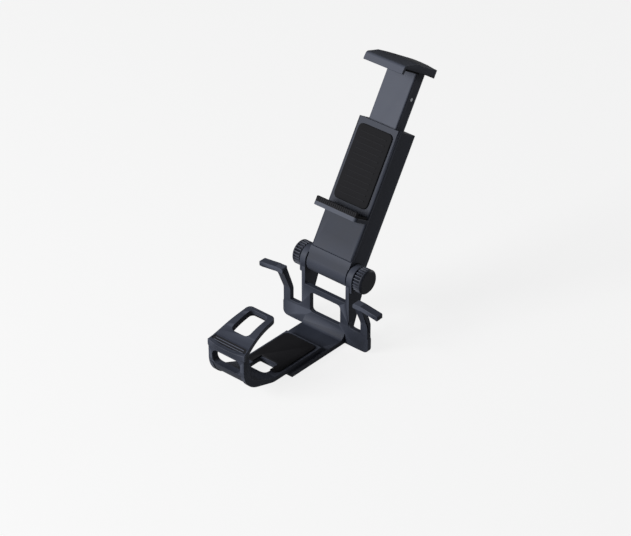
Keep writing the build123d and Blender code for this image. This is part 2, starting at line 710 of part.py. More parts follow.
def rear_shell():
    """Barrel and arm in one moulding, open to the front for the stem and springs."""
    arm = extrude(Plane.YZ * body_outline(), amount=BODY_HALF_WIDTH, both=True)
    plan = plan_with_rear_corners(BODY_HALF_WIDTH, BARREL_RADIUS, BODY_REAR, BODY_CORNER)
    arm = shared(arm, upright(plan, 0, BODY_TOP))
    wide = BODY_HALF_WIDTH + OVERRUN
    front = -BARREL_RADIUS - OVERRUN
    arm -= block((-wide, wide), (front, COVER_REAR), (BODY_SEAM, BODY_TOP + OVERRUN))
    clear = EAR_RING_RADIUS + BODY_TRIM_GAP
    arm -= round_bar(clear, BARREL_HALF_WIDTH, wide)
    arm -= round_bar(clear, -wide, -BARREL_HALF_WIDTH)
    arm = only_solids(arm + round_bar(BARREL_RADIUS, -BARREL_HALF_WIDTH, BARREL_HALF_WIDTH))
    channel = (-CHANNEL_HALF_WIDTH, CHANNEL_HALF_WIDTH)
    arm -= block(channel, (front, CHANNEL_REAR), (CHANNEL_LOW, BODY_TOP + OVERRUN))
    arm -= round_bar(BOLT_RADIUS, -wide, wide)
    outside = BODY_REAR + OVERRUN
    sink = BODY_REAR - BODY_SCREW_SINK
    for x, z in body_screw_places():
        arm -= pin_y(COVER_PEG_RADIUS, COVER_REAR - OVERRUN, COVER_REAR + COVER_PEG_LENGTH, x, z)
        arm -= pin_y(BODY_SCREW_RADIUS + SCREW_CLEARANCE, 0, outside, x, z)
        arm -= pin_y(BODY_SCREW_HEAD_RADIUS + SCREW_CLEARANCE, sink, outside, x, z)
    pin_reach = CHANNEL_HALF_WIDTH + LOWER_PIN_BITE
    arm -= round_bar(SPRING_PIN_RADIUS, -pin_reach, pin_reach, STEM_MIDDLE_Y, LOWER_PIN_Z)
    return arm


def front_cover():
    """The front plate of the arm with the lower jaw's shelf and four screw pegs."""
    plate = block(
        (-BODY_HALF_WIDTH, BODY_HALF_WIDTH),
        (-BARREL_RADIUS, COVER_REAR),
        (BODY_SEAM + SEAM_GAP, BODY_TOP),
    )
    front_edges = plate.faces().sort_by(Axis.Y)[0].edges().filter_by(Axis.Z)
    plate = fillet(front_edges, COVER_EDGE_ROUNDING)
    shelf_depth = JAW_FRONT - BARREL_RADIUS + COVER_THICKNESS / 2
    shelf_middle = -JAW_FRONT + shelf_depth / 2
    shelf_face = Pos(0, shelf_middle) * Rectangle(2 * LOWER_JAW_HALF_WIDTH, shelf_depth)
    shelf_corners = shelf_face.vertices().group_by(Axis.Y)[0]
    shelf = upright(fillet(shelf_corners, LOWER_JAW_CORNER), LOWER_JAW_LOW, LOWER_JAW_TOP)
    gusset_corners = [
        (COVER_REAR, LOWER_JAW_LOW - GUSSET_DROP, 0),
        (COVER_REAR, LOWER_JAW_LOW, 0),
        (-BARREL_RADIUS - GUSSET_REACH, LOWER_JAW_LOW, 0),
        (-BARREL_RADIUS, LOWER_JAW_LOW - GUSSET_DROP, 0),
    ]
    plate += shelf
    for x in (-GUSSET_X, GUSSET_X):
        plate += side_slab(gusset_corners, GUSSET_HALF_WIDTH, x)
    peg_end = COVER_REAR + COVER_PEG_LENGTH
    for x, z in body_screw_places():
        plate += pin_y(COVER_PEG_RADIUS, COVER_REAR - COVER_THICKNESS / 2, peg_end, x, z)
        plate -= pin_y(BODY_SCREW_RADIUS, COVER_REAR, peg_end, x, z)
    return plate


def pan_screw(head_radius, head_height, shank_radius, shank_end, head_start, at_x, at_z):
    """A flat-headed screw along Y, with its head at the back."""
    head = pin_y(head_radius, head_start, head_start + head_height, at_x, at_z)
    return head + pin_y(shank_radius, shank_end, head_start, at_x, at_z)


def shell_screws():
    """Four screws from the back that hold the cover by its pegs."""
    sink = BODY_REAR - BODY_SCREW_SINK
    tip = COVER_REAR + OVERRUN
    head = (BODY_SCREW_HEAD_RADIUS, BODY_SCREW_HEAD, BODY_SCREW_RADIUS)
    screws = [pan_screw(*head, tip, sink, x, z) for x, z in body_screw_places()]
    return Compound(children=screws)


def lower_jaw_pad():
    """The soft pad on the shelf, with a raised front lip."""
    lip_inner = -JAW_FRONT + LOWER_PAD_LIP_DEPTH
    side = [
        (-BARREL_RADIUS - RUNNING_GAP, LOWER_JAW_TOP, 0),
        (-BARREL_RADIUS - RUNNING_GAP, PAD_FLOOR, 0),
        (lip_inner, PAD_FLOOR, LOWER_PAD_LIP_ROUNDING),
        (lip_inner, LOWER_PAD_LIP, LOWER_PAD_LIP_ROUNDING),
        (-JAW_FRONT, LOWER_PAD_LIP, LOWER_PAD_LIP_ROUNDING),
        (-JAW_FRONT, LOWER_JAW_TOP, 0),
    ]
    return side_slab(side, LOWER_JAW_HALF_WIDTH - PAD_SIDE_INSET)


def back_pad():
    """The soft face pad on the front cover, between the jaws."""
    height = BACK_PAD_TOP - BACK_PAD_LOW
    face = Plane.XZ * (
        Pos(0, (BACK_PAD_TOP + BACK_PAD_LOW) / 2)
        * RectangleRounded(2 * BACK_PAD_HALF_WIDTH, height, BACK_PAD_CORNER)
    )
    return Pos(0, -BARREL_RADIUS, 0) * extrude(face, amount=JAW_PAD)


# Upper jaw


def upper_jaw():
    """The sliding jaw: front lip, crowned top and a finger overhang at the back."""
    end_crest = UPPER_JAW_TOP + UPPER_JAW_ARCH
    crest = end_crest + UPPER_JAW_CROWN
    lip_inner = -UPPER_JAW_FRONT + UPPER_LIP_DEPTH
    overhang_low = UPPER_JAW_UNDERSIDE - OVERHANG_REACH
    overhang_front = UPPER_JAW_REAR - OVERHANG_DEPTH
    small = UPPER_JAW_SMALL_ROUNDING
    side = [
        (-UPPER_JAW_FRONT, UPPER_LIP_LOW, small),
        (-UPPER_JAW_FRONT + UPPER_JAW_LEAN, UPPER_JAW_TOP - UPPER_JAW_SHOULDER, UPPER_JAW_SHOULDER),
        (-UPPER_JAW_CREST, crest, UPPER_JAW_CREST_ROUNDING),
        (UPPER_JAW_REAR, crest, UPPER_JAW_REAR_ROUNDING),
        (UPPER_JAW_REAR, overhang_low, small),
        (overhang_front, overhang_low, small / 2),
        (overhang_front, UPPER_JAW_UNDERSIDE, small / 2),
        (lip_inner, UPPER_JAW_UNDERSIDE, 0),
        (lip_inner, UPPER_LIP_LOW, small),
    ]
    jaw = side_slab(side, UPPER_JAW_HALF_WIDTH)
    plan = plan_with_rear_corners(
        UPPER_JAW_HALF_WIDTH, UPPER_JAW_FRONT + OVERRUN, UPPER_JAW_REAR, UPPER_JAW_CORNER
    )
    jaw = shared(jaw, upright(plan, PAD_FLOOR, crest + OVERRUN))
    left, right = -UPPER_JAW_HALF_WIDTH - OVERRUN, UPPER_JAW_HALF_WIDTH + OVERRUN
    crown = ThreePointArc((left, end_crest), (0, crest), (right, end_crest))
    sides = Polyline((right, end_crest), (right, PAD_FLOOR), (left, PAD_FLOOR), (left, end_crest))
    front_view = Plane.XZ * make_face([crown, sides])
    depth = UPPER_JAW_FRONT + UPPER_JAW_REAR + 2 * OVERRUN
    jaw = shared(jaw, Pos(0, UPPER_JAW_REAR + OVERRUN, 0) * extrude(front_view, amount=depth))
    return jaw + stem_plug()


def stem_plug():
    """The plug under the jaw that fills the top of the stem."""
    inset = STEM_WALL + STEM_PLUG_GAP
    plug = block(
        (-STEM_HALF_WIDTH + inset, STEM_HALF_WIDTH - inset),
        (-STEM_FRONT + inset, STEM_REAR - inset),
        (UPPER_JAW_UNDERSIDE - STEM_PLUG_LENGTH, UPPER_JAW_UNDERSIDE + UPPER_JAW_WALL / 2),
    )
    start = STEM_REAR - STEM_WALL - STEM_SCREW_BITE
    for x, z in stem_screw_places():
        plug -= pin_y(STEM_SCREW_RADIUS, start, STEM_REAR, x, z)
    return plug


def stem_screw_places():
    """The two stem screws, as X and height."""
    return [(x, UPPER_JAW_UNDERSIDE - STEM_SCREW_DROP) for x in (-STEM_SCREW_X, STEM_SCREW_X)]


def jaw_stem():
    """The hollow stem that slides in the body and hides the springs."""
    width = (-STEM_HALF_WIDTH, STEM_HALF_WIDTH)
    stem = block(width, (-STEM_FRONT, STEM_REAR), (STEM_LOW, UPPER_JAW_UNDERSIDE))
    stem = fillet(stem.edges().filter_by(Axis.Z), STEM_CORNER)
    stem -= block(
        (-STEM_HALF_WIDTH + STEM_WALL, STEM_HALF_WIDTH - STEM_WALL),
        (-STEM_FRONT + STEM_WALL, STEM_REAR - STEM_WALL),
        (STEM_LOW - OVERRUN, UPPER_JAW_UNDERSIDE + OVERRUN),
    )
    wide = STEM_HALF_WIDTH + OVERRUN
    stem -= round_bar(SPRING_PIN_RADIUS, -wide, wide, STEM_MIDDLE_Y, UPPER_PIN_Z)
    hole_start = STEM_REAR - STEM_WALL - OVERRUN
    hole_end = STEM_REAR + OVERRUN
    head_low = STEM_REAR - STEM_SCREW_HEAD
    for x, z in stem_screw_places():
        stem -= pin_y(STEM_SCREW_RADIUS + SCREW_CLEARANCE, hole_start, hole_end, x, z)
        stem -= pin_y(STEM_SCREW_HEAD_RADIUS + SCREW_CLEARANCE, head_low, hole_end, x, z)
    return stem


def jaw_screws():
    """Two screws through the stem's back wall into the jaw's plug."""
    head_low = STEM_REAR - STEM_SCREW_HEAD
    tip = STEM_REAR - STEM_WALL - STEM_SCREW_BITE
    head = (STEM_SCREW_HEAD_RADIUS, STEM_SCREW_HEAD, STEM_SCREW_RADIUS)
    screws = [pan_screw(*head, tip, head_low, x, z) for x, z in stem_screw_places()]
    return Compound(children=screws)


def upper_jaw_pad():
    """The soft pad under the upper jaw and behind its lip."""
    lip_inner = -UPPER_JAW_FRONT + UPPER_LIP_DEPTH
    pad_rear = -STEM_FRONT - JAW_PAD
    lip_end = UPPER_LIP_LOW + PAD_EDGE_MARGIN
    side = [
        (pad_rear, UPPER_JAW_UNDERSIDE, 0),
        (pad_rear, PAD_CEILING, 0),
        (lip_inner + JAW_PAD, PAD_CEILING, 0),
        (lip_inner + JAW_PAD, lip_end, 0),
        (lip_inner, lip_end, 0),
        (lip_inner, UPPER_JAW_UNDERSIDE, 0),
    ]
    return side_slab(side, UPPER_JAW_HALF_WIDTH - PAD_SIDE_INSET)


# Springs and pins


def lower_spring_pin():
    reach = CHANNEL_HALF_WIDTH + LOWER_PIN_BITE
    return round_bar(SPRING_PIN_RADIUS, -reach, reach, STEM_MIDDLE_Y, LOWER_PIN_Z)


def upper_spring_pin():
    return round_bar(
        SPRING_PIN_RADIUS, -STEM_HALF_WIDTH, STEM_HALF_WIDTH, STEM_MIDDLE_Y, UPPER_PIN_Z
    )


def jaw_spring(at_x):
    """The outside and bore of one drawn-out pull spring, from pin to pin."""
    low = LOWER_PIN_Z + SPRING_PIN_RADIUS
    high = UPPER_PIN_Z - SPRING_PIN_RADIUS
    length = high - low
    coil = Cylinder(SPRING_RADIUS, length) - Cylinder(SPRING_BORE, length + 2 * OVERRUN)
    return Pos(at_x, STEM_MIDDLE_Y, (high + low) / 2) * coil


def at_hinge(solid):
    """A piece of hinge hardware, moved from the origin to the hinge line."""
    return Pos(0, HINGE_Y, HINGE_Z) * solid


def friction_washer():
    """The right fibre washer between barrel and ear."""
    bore = BOLT_RADIUS + RUNNING_GAP / 2
    end_x = BARREL_HALF_WIDTH + FRICTION_WASHER
    return ring(FRICTION_WASHER_RADIUS, bore, BARREL_HALF_WIDTH, end_x)


def knob_washer():
    """The right steel washer between ear and knob."""
    start_x = EAR_RING_X + RUNNING_GAP
    return ring(KNOB_WASHER_RADIUS, BOLT_RADIUS + RUNNING_GAP, start_x, KNOB_INNER_X)


nodes = {
    "front_bracket": front_bracket(),
    "back_frame": back_frame(),
    "bracket_screws": bracket_screws(),
    "floor_pad": floor_pad(),
    "tongue_pad": tongue_pad(),
    "right_hook_pad": right_hook_pad(),
    "left_hook_pad": mirrored(right_hook_pad()),
    "rear_shell": leant_back(rear_shell()),
    "front_cover": leant_back(front_cover()),
    "shell_screws": leant_back(shell_screws()),
    "lower_jaw_pad": leant_back(lower_jaw_pad()),
    "back_pad": leant_back(back_pad()),
    "hinge_bolt": at_hinge(hinge_bolt()),
    "right_friction_washer": at_hinge(friction_washer()),
    "left_friction_washer": at_hinge(mirrored(friction_washer())),
    "lower_spring_pin": leant_back(lower_spring_pin()),
    "upper_jaw": leant_back(upper_jaw()),
    "jaw_stem": leant_back(jaw_stem()),
    "jaw_screws": leant_back(jaw_screws()),
    "upper_jaw_pad": leant_back(upper_jaw_pad()),
    "upper_spring_pin": leant_back(upper_spring_pin()),
    "right_spring": leant_back(jaw_spring(SPRING_X)),
    "left_spring": leant_back(jaw_spring(-SPRING_X)),
    "right_knob": at_hinge(knob()),
    "left_knob": at_hinge(mirrored(knob())),
    "right_knob_nut": at_hinge(knob_nut()),
    "left_knob_nut": at_hinge(mirrored(knob_nut())),
    "right_knob_washer": at_hinge(knob_washer()),
    "left_knob_washer": at_hinge(mirrored(knob_washer())),
}

os.makedirs("parts", exist_ok=True)
for node, solid in nodes.items():
    export_step(solid, f"parts/{node}.step")
    print(node, round(solid.volume, 1))
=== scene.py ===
"""Looks of a spring clamp clip on a tilting arm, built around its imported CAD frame."""

import json
import logging
import math
from collections.abc import Callable
from dataclasses import dataclass, field
from enum import Enum

import bmesh
import bpy
from mathutils import Matrix, Vector
from mathutils.bvhtree import BVHTree
from mathutils.kdtree import KDTree


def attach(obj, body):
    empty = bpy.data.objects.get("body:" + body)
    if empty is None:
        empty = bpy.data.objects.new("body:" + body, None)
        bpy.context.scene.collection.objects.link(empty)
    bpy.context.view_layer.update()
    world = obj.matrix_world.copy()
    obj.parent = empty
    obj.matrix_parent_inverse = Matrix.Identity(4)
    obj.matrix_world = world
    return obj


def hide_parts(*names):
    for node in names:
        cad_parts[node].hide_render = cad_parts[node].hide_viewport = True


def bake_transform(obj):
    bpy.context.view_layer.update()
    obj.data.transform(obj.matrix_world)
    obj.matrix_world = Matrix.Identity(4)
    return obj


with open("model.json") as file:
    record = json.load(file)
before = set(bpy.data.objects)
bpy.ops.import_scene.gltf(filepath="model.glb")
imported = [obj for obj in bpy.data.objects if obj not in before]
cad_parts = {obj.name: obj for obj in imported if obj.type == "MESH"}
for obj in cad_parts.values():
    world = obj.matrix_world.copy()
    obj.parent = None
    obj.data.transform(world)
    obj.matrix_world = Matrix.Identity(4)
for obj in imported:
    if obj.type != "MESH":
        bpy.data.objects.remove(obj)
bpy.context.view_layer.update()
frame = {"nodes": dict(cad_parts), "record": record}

LOG = logging.getLogger("clip")
MM = 0.001
HINGE = Vector((0.0, 44.0, 33.0)) * MM
CLAMP_LEAN = math.radians(31.5)
LEAN = Matrix.Rotation(-CLAMP_LEAN, 4, "X")
CLAMP_PLACE = Matrix.Translation(HINGE) @ LEAN
FORWARDS = LEAN @ Matrix.Rotation(math.pi / 2, 4, "X")

# Rounding of edges: what counts as sharp or flat, and how much room a rounding may take.
CREASE = math.radians(32.0)
FLAT = math.radians(0.6)
WELD = 2e-6
ROOM_SHARE = 0.42
LENGTH_SHARE = 1.5
LENGTH_ALLOWANCE = 0.2
ALONG = 0.9
ROUNDING_TRIES = 12
STRAY_SHARE = 0.45
NEAR_WIDTHS = 1.6
NORMAL_WEIGHT = 80


class Body(str, Enum):
    """The bodies that pieces ride on."""

    BRACKET = "bracket"
    CLAMP = "clamp"
    JAW = "upper_jaw"
    RIGHT_KNOB = "right_knob"
    LEFT_KNOB = "left_knob"


# Small tools


def linear(hex_colour: str) -> tuple[float, float, float, float]:
    """Turn an sRGB hex colour into linear light.

    Args:
        hex_colour: Six hex digits after a hash sign.

    Returns:
        Red, green, blue and a full alpha, in linear light.
    """
    values = [int(hex_colour[i : i + 2], 16) / 255 for i in (1, 3, 5)]
    light = [v / 12.92 if v <= 0.04045 else ((v + 0.055) / 1.055) ** 2.4 for v in values]
    return light[0], light[1], light[2], 1.0


def add_node(
    tree: bpy.types.NodeTree,
    kind: str,
    settings: dict[str, object] | None = None,
    inputs: dict[str | int, object] | None = None,
) -> bpy.types.Node:
    """Add a node with its settings, and with values or links on its inputs.

    Args:
        tree: The node tree that the node goes into.
        kind: The node's type name.
        settings: Attributes to set on the node.
        inputs: Input names or numbers, each with a value or an output socket to link from.

    Returns:
        The new node.
    """
    node = tree.nodes.new(kind)
    for name, value in (settings or {}).items():
        setattr(node, name, value)
    for key, value in (inputs or {}).items():
        if isinstance(value, bpy.types.NodeSocket):
            tree.links.new(value, node.inputs[key])
        else:
            node.inputs[key].default_value = value
    return node


def emptied(owner: bpy.types.Material | bpy.types.World) -> bpy.types.NodeTree:
    """Give a new material or world an empty node tree.

    Args:
        owner: The material or world.

    Returns:
        Its node tree, without nodes.
    """
    owner.use_nodes = True
    owner.node_tree.nodes.clear()
    return owner.node_tree


def linked_object(name: str, mesh: bpy.types.Mesh) -> bpy.types.Object:
    """Make an object of a mesh, unturned and at the origin, and put it in the scene.

    Args:
        name: The object's name.
        mesh: Its mesh.

    Returns:
        The new object.
    """
    piece = bpy.data.objects.new(name, mesh)
    bpy.context.scene.collection.objects.link(piece)
    return piece


def settled(piece: bpy.types.Object, crease: float | None = CREASE) -> bpy.types.Object:
    """Turn a piece's modifiers into plain mesh, with smooth shading up to the crease angle.

    Args:
        piece: The piece with its modifiers.
        crease: The angle from which an edge is shaded sharp, or None to keep its shading.

    Returns:
        The same piece, without modifiers.
    """
    ready = piece.evaluated_get(bpy.context.evaluated_depsgraph_get())
    mesh = bpy.data.meshes.new_from_object(ready)
    mesh.name = piece.name
    piece.modifiers.clear()
    piece.data = mesh
    if crease is not None:
        mesh.polygons.foreach_set("use_smooth", [True] * len(mesh.polygons))
        mesh.set_sharp_from_angle(angle=crease)
    return piece


def closed_mesh(name: str, work: bmesh.types.BMesh, place: Matrix | None = None) -> bpy.types.Mesh:
    """Finish a bmesh as a mesh whose faces point outwards.

    Args:
        name: The mesh's name.
        work: The bmesh, which is freed.
        place: Where the mesh goes.

    Returns:
        The mesh.
    """
    bmesh.ops.remove_doubles(work, verts=work.verts, dist=1e-7)
    if place is not None:
        bmesh.ops.transform(work, matrix=place, verts=work.verts)
    bmesh.ops.recalc_face_normals(work, faces=work.faces)
    mesh = bpy.data.meshes.new(name)
    work.to_mesh(mesh)
    work.free()
    return mesh


def bridge(work: bmesh.types.BMesh, rings: list[list[bmesh.types.BMVert]]) -> None:
    """Join each ring of corners to the next with faces, which narrow to a point at a pole.

    Args:
        work: The mesh that the rings are in.
        rings: The rings, all with the same number of corners.
    """
    for lower, upper in zip(rings, rings[1:]):
        for index in range(len(lower)):
            following = (index + 1) % len(lower)
            corners = [lower[index], lower[following], upper[following], upper[index]]
            distinct = list(dict.fromkeys(corners))
            if len(distinct) > 2:
                work.faces.new(distinct)


def turned(
    profile: list[tuple[float, float]],
    steps: int,
    ripple: Callable[[float, float, float], float] | None = None,
) -> bmesh.types.BMesh:
    """Turn a profile about the Z axis, as on a lathe.

    Args:
        profile: Height and radius of each station, in millimetres. A radius of 0 is a pole.
        steps: How many columns go round.
        ripple: Gives the radius at an angle, height and plain radius.

    Returns:
        The turned shape as a bmesh, in metres.
    """
    work = bmesh.new()
    rings = []
    for height, radius in profile:
        if radius == 0:
            rings.append([work.verts.new((0, 0, height * MM))] * steps)
            continue
        ring = []
        for index in range(steps):
            angle = 2 * math.pi * index / steps
            reach = ripple(angle, height, radius) if ripple else radius
            place = (reach * math.cos(angle), reach * math.sin(angle), height)
            ring.append(work.verts.new(Vector(place) * MM))
        rings.append(ring)
    bridge(work, rings)
    return work


def cut_away(piece: bpy.types.Object, cutter: bpy.types.Object) -> None:
    """Cut one closed shape out of another and drop the cutter.

    Args:
        piece: What is cut, in place.
        cutter: The shape that is taken out.
    """
    cut = piece.modifiers.new("cut", "BOOLEAN")
    cut.operation, cut.solver, cut.object, cut.use_self = "DIFFERENCE", "EXACT", cutter, True
    settled(piece, None)
    bpy.data.objects.remove(cutter)


def in_clamp(y: float, z: float, x: float = 0.0) -> Vector:
    """Move a point of the upright clamp to its stored lean.

    Args:
        y: Its place behind the hinge, in millimetres.
        z: Its height over the hinge, in millimetres.
        x: Its place to the right, in millimetres.

    Returns:
        The same place in the row frame, in metres.
    """
    return CLAMP_PLACE @ (Vector((x, y, z)) * MM)


# Finishes


@dataclass(frozen=True)
class Finish:
    """What the finishes share: colour and gloss that change in clouds, and a fine relief.

    The clouds are as wide as the dull patches that handling leaves on a part of this size.
    """

    name: str
    colour: str
    second_colour: str
    roughness: float = 0.5
    smoother: float = 0.05
    duller: float = 0.07
    cloud_mm: float = 9.0
    cloud_detail: float = 3.0
    relief_mm: float = 0.3
    relief_depth_mm: float = 0.012
    relief_strength: float = 0.6

    def constants(self) -> dict[str, float]:
        """Give what is the same all over, set on the shader's own sockets."""
        return {}

    def laid(self, tree: bpy.types.NodeTree, place: bpy.types.NodeSocket) -> bpy.types.NodeSocket:
        """Give the coordinates that the relief follows."""
        return place

    def shaded(self, tree: bpy.types.NodeTree, body: bpy.types.NodeSocket) -> bpy.types.NodeSocket:
        """Give the surface's colour, made from that of its body."""
        return body

    def material(self) -> bpy.types.Material:
        """Build the node material.

        Returns:
            The finished material.
        """
        made = bpy.data.materials.new(self.name)
        tree = emptied(made)
        place = add_node(tree, "ShaderNodeTexCoord").outputs["Object"]
        cloud = add_node(
            tree,
            "ShaderNodeTexNoise",
            inputs={
                "Vector": place,
                "Scale": 1 / (self.cloud_mm * MM),
                "Detail": self.cloud_detail,
            },
        ).outputs["Fac"]
        relief = add_node(
            tree,
            "ShaderNodeTexNoise",
            inputs={"Vector": self.laid(tree, place), "Scale": 1 / (self.relief_mm * MM)},
        )
        body = add_node(
            tree,
            "ShaderNodeMix",
            {"data_type": "RGBA"},
            {0: cloud, 6: linear(self.colour), 7: linear(self.second_colour)},
        )
        rough = add_node(
            tree,
            "ShaderNodeMapRange",
            inputs={
                "Value": cloud,
                "To Min": self.roughness - self.smoother,
                "To Max": self.roughness + self.duller,
            },
        )
        bump = add_node(
            tree,
            "ShaderNodeBump",
            inputs={
                "Height": relief.outputs["Fac"],
                "Strength": self.relief_strength,
                "Distance": self.relief_depth_mm * MM,
            },
        )
        shader = add_node(
            tree,
            "ShaderNodeBsdfPrincipled",
            inputs={
                "Base Color": self.shaded(tree, body.outputs[2]),
                "Roughness": rough.outputs["Result"],
                "Normal": bump.outputs["Normal"],
                **self.constants(),
            },
        )
        add_node(tree, "ShaderNodeOutputMaterial", inputs={"Surface": shader.outputs["BSDF"]})
        return made


@dataclass(frozen=True)
class Plastic(Finish):
    """A moulded plastic with a fine spark-eroded grain, which breaks up its soft highlights.

    The grain is drawn at 0.3 mm, coarser than the real 0.1 mm, so that it shows in the render.
    Edges are painted paler, partly as a painted highlight and partly as rubbing wear, and grooves
    can be painted darker as painted shade.
    """

    roughness: float = 0.52
    # Paler edges: partly a painted highlight along the edges, partly rubbing wear.
    edge_highlight_and_wear_colour: str = "#565a66"
    edge_highlight_and_wear_range: tuple[float, float] = (0.51, 0.58)
    edge_highlight_and_wear_share: float = 0.6
    # Painted shade: a near-black colour mixed into grooves and creases, where shade falls.
    painted_shade_colour_in_grooves: str = "#0b0b0d"
    painted_shade_range_in_grooves: tuple[float, float] = (0.43, 0.49)
    painted_shade_share_in_grooves: float = 0.0
    specular: float = 0.12
    ior: float = 1.5

    def constants(self) -> dict[str, float]:
        """Give what is the same all over, set on the shader's own sockets."""
        return {"Specular IOR Level": self.specular, "IOR": self.ior}

    def shaded(self, tree: bpy.types.NodeTree, body: bpy.types.NodeSocket) -> bpy.types.NodeSocket:
        """Paint shade into the grooves, and make the edges paler, partly as painted highlight and
        partly as wear.

        Args:
            tree: The material's node tree.
            body: The colour of the body.

        Returns:
            The surface's colour.
        """
        bend = add_node(tree, "ShaderNodeNewGeometry").outputs["Pointiness"]
        colour = body
        # Painted shade darkens the grooves, and a painted highlight, partly rubbing wear, pales the
        # edges.
        for span, shares, other in (
            (self.painted_shade_range_in_grooves, (self.painted_shade_share_in_grooves, 0.0), self.painted_shade_colour_in_grooves),
            (self.edge_highlight_and_wear_range, (0.0, self.edge_highlight_and_wear_share), self.edge_highlight_and_wear_colour),
        ):
            share = add_node(
                tree,
                "ShaderNodeMapRange",
                inputs={
                    "Value": bend,
                    "From Min": span[0],
                    "From Max": span[1],
                    "To Min": shares[0],
                    "To Max": shares[1],
                },
            )
            colour = add_node(
                tree,
                "ShaderNodeMix",
                {"data_type": "RGBA"},
                {0: share.outputs["Result"], 6: colour, 7: linear(other)},
            ).outputs[2]
        return colour


@dataclass(frozen=True)
class Metal(Finish):
    """A plain metal whose gloss varies in clouds, with fine marks drawn out along one axis.

    The marks are drawn at about a quarter of a millimetre, coarser than the real ones, so that
    they show in the render.
    """

    roughness: float = 0.32
    smoother: float = 0.08
    duller: float = 0.12
    cloud_mm: float = 2.5
    cloud_detail: float = 4.0
    relief_mm: float = 0.25
    relief_depth_mm: float = 0.006
    relief_strength: float = 0.5
    drawn_out: tuple[float, float, float] = (0.08, 1.0, 1.0)

    def constants(self) -> dict[str, float]:
        """Give what is the same all over, set on the shader's own sockets."""
        return {"Metallic": 1.0}

    def laid(self, tree: bpy.types.NodeTree, place: bpy.types.NodeSocket) -> bpy.types.NodeSocket:
        """Draw the marks out along X."""
        settings = {"Vector": place, "Scale": self.drawn_out}
        return add_node(tree, "ShaderNodeMapping", inputs=settings).outputs[0]


@dataclass
class Finishes:
    """All materials of the clip, one for each real finish."""

    made: dict[str, bpy.types.Material] = field(default_factory=dict)

    KINDS = (
        # Injection-moulded ABS: satin, bluish black, with its edges painted paler, partly as a
        # painted highlight and partly as rubbing wear.
        Plastic("moulded_abs", "#272a33", "#343843"),
        # The knobs' harder ABS: smoother and a little darker than the arm, with painted shade
        # darkening its grooves.
        Plastic("knob_abs", "#202229", "#30333c", 0.45, relief_mm=0.4, painted_shade_share_in_grooves=0.7),
        # Moulded silicone rubber: dull, with almost no sheen, and slightly paler edges, partly
        # painted highlight and partly wear.
        Plastic(
            "silicone_rubber", "#141416", "#1e1e21", 0.75, edge_highlight_and_wear_colour="#29292c", specular=0.1
        ),
        # Turned nylon washers: waxy dark grey.
        Plastic("turned_nylon", "#37373a", "#444448", 0.5, relief_mm=0.5),
        # Zinc-plated steel: pale grey with a faint bluish cast.
        Metal("zinc_plated_steel", "#b9bcc2", "#8f9297"),
        # Blackened steel screws: dark, with a low oily gloss.
        Metal("blackened_steel", "#2b2b2e", "#1a1a1c", 0.38),
        # Drawn spring wire: bright, with marks of the die along it.
        Metal("drawn_spring_wire", "#c3c4c6", "#a0a1a4", 0.24, relief_mm=0.15),
    )
    SLOTS = {
        "black_plastic": "moulded_abs",
        "knob_plastic": "knob_abs",
        "soft_rubber": "silicone_rubber",
        "fibre_washer": "turned_nylon",
        "bare_steel": "zinc_plated_steel",
        "black_screws": "blackened_steel",
        "spring_steel": "drawn_spring_wire",
    }

    def __post_init__(self) -> None:
        """Build every material."""
        self.made = {kind.name: kind.material() for kind in self.KINDS}

    def of(self, slot: str) -> bpy.types.Material:
        """Give the material of one of the record's slots."""
        return self.made[self.SLOTS[slot]]

    def dress(
        self, piece: bpy.types.Object, slot: str, body: Body, *nodes: str
    ) -> bpy.types.Object:
        """Give a finished piece its material and its body, and hide the CAD nodes that it stands
        for.

        Args:
            piece: The finished piece.
            slot: The record's material slot.
            body: The body that it rides on.
            nodes: The CAD nodes that it replaces.

        Returns:
            The same piece.
        """
        piece.data.materials.clear()
        piece.data.materials.append(self.of(slot))
        if nodes:
            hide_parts(*nodes)
        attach(piece, body.value)
        LOG.info("%s: %d faces on %s", piece.name, len(piece.data.polygons), body.value)
        return piece


def room_at(corner: bmesh.types.BMVert, edge: bmesh.types.BMEdge) -> float:
    """Give the shortest edge that leaves a corner sideways of a given edge.

    Args:
        corner: One end of the edge.
        edge: The edge itself.

    Returns:
        The length, in metres.
    """
    along = (edge.other_vert(corner).co - corner.co).normalized()
    shortest = 1.0
    for other in corner.link_edges:
        reach = other.other_vert(corner).co - corner.co
        if other is not edge and abs(reach.normalized().dot(along)) < ALONG:
            shortest = min(shortest, reach.length)
    return shortest


def weigh_edges(work: bmesh.types.BMesh, width: float) -> None:
    """Mark the sharp edges for rounding, and less where the faces beside them are narrow.

    Args:
        work: The mesh.
        width: The full width of the rounding, in metres.
    """
    layer = work.edges.layers.float.new("bevel_weight_edge")
    for edge in work.edges:
        if len(edge.link_faces) != 2:
            continue
        turn = edge.calc_face_angle(0.0)
        if turn < CREASE:
            continue
        room = min(room_at(corner, edge) for corner in edge.verts)
        room = min(room, LENGTH_SHARE * edge.calc_length() + LENGTH_ALLOWANCE * width)
        edge[layer] = min(1.0, ROOM_SHARE * room / width)


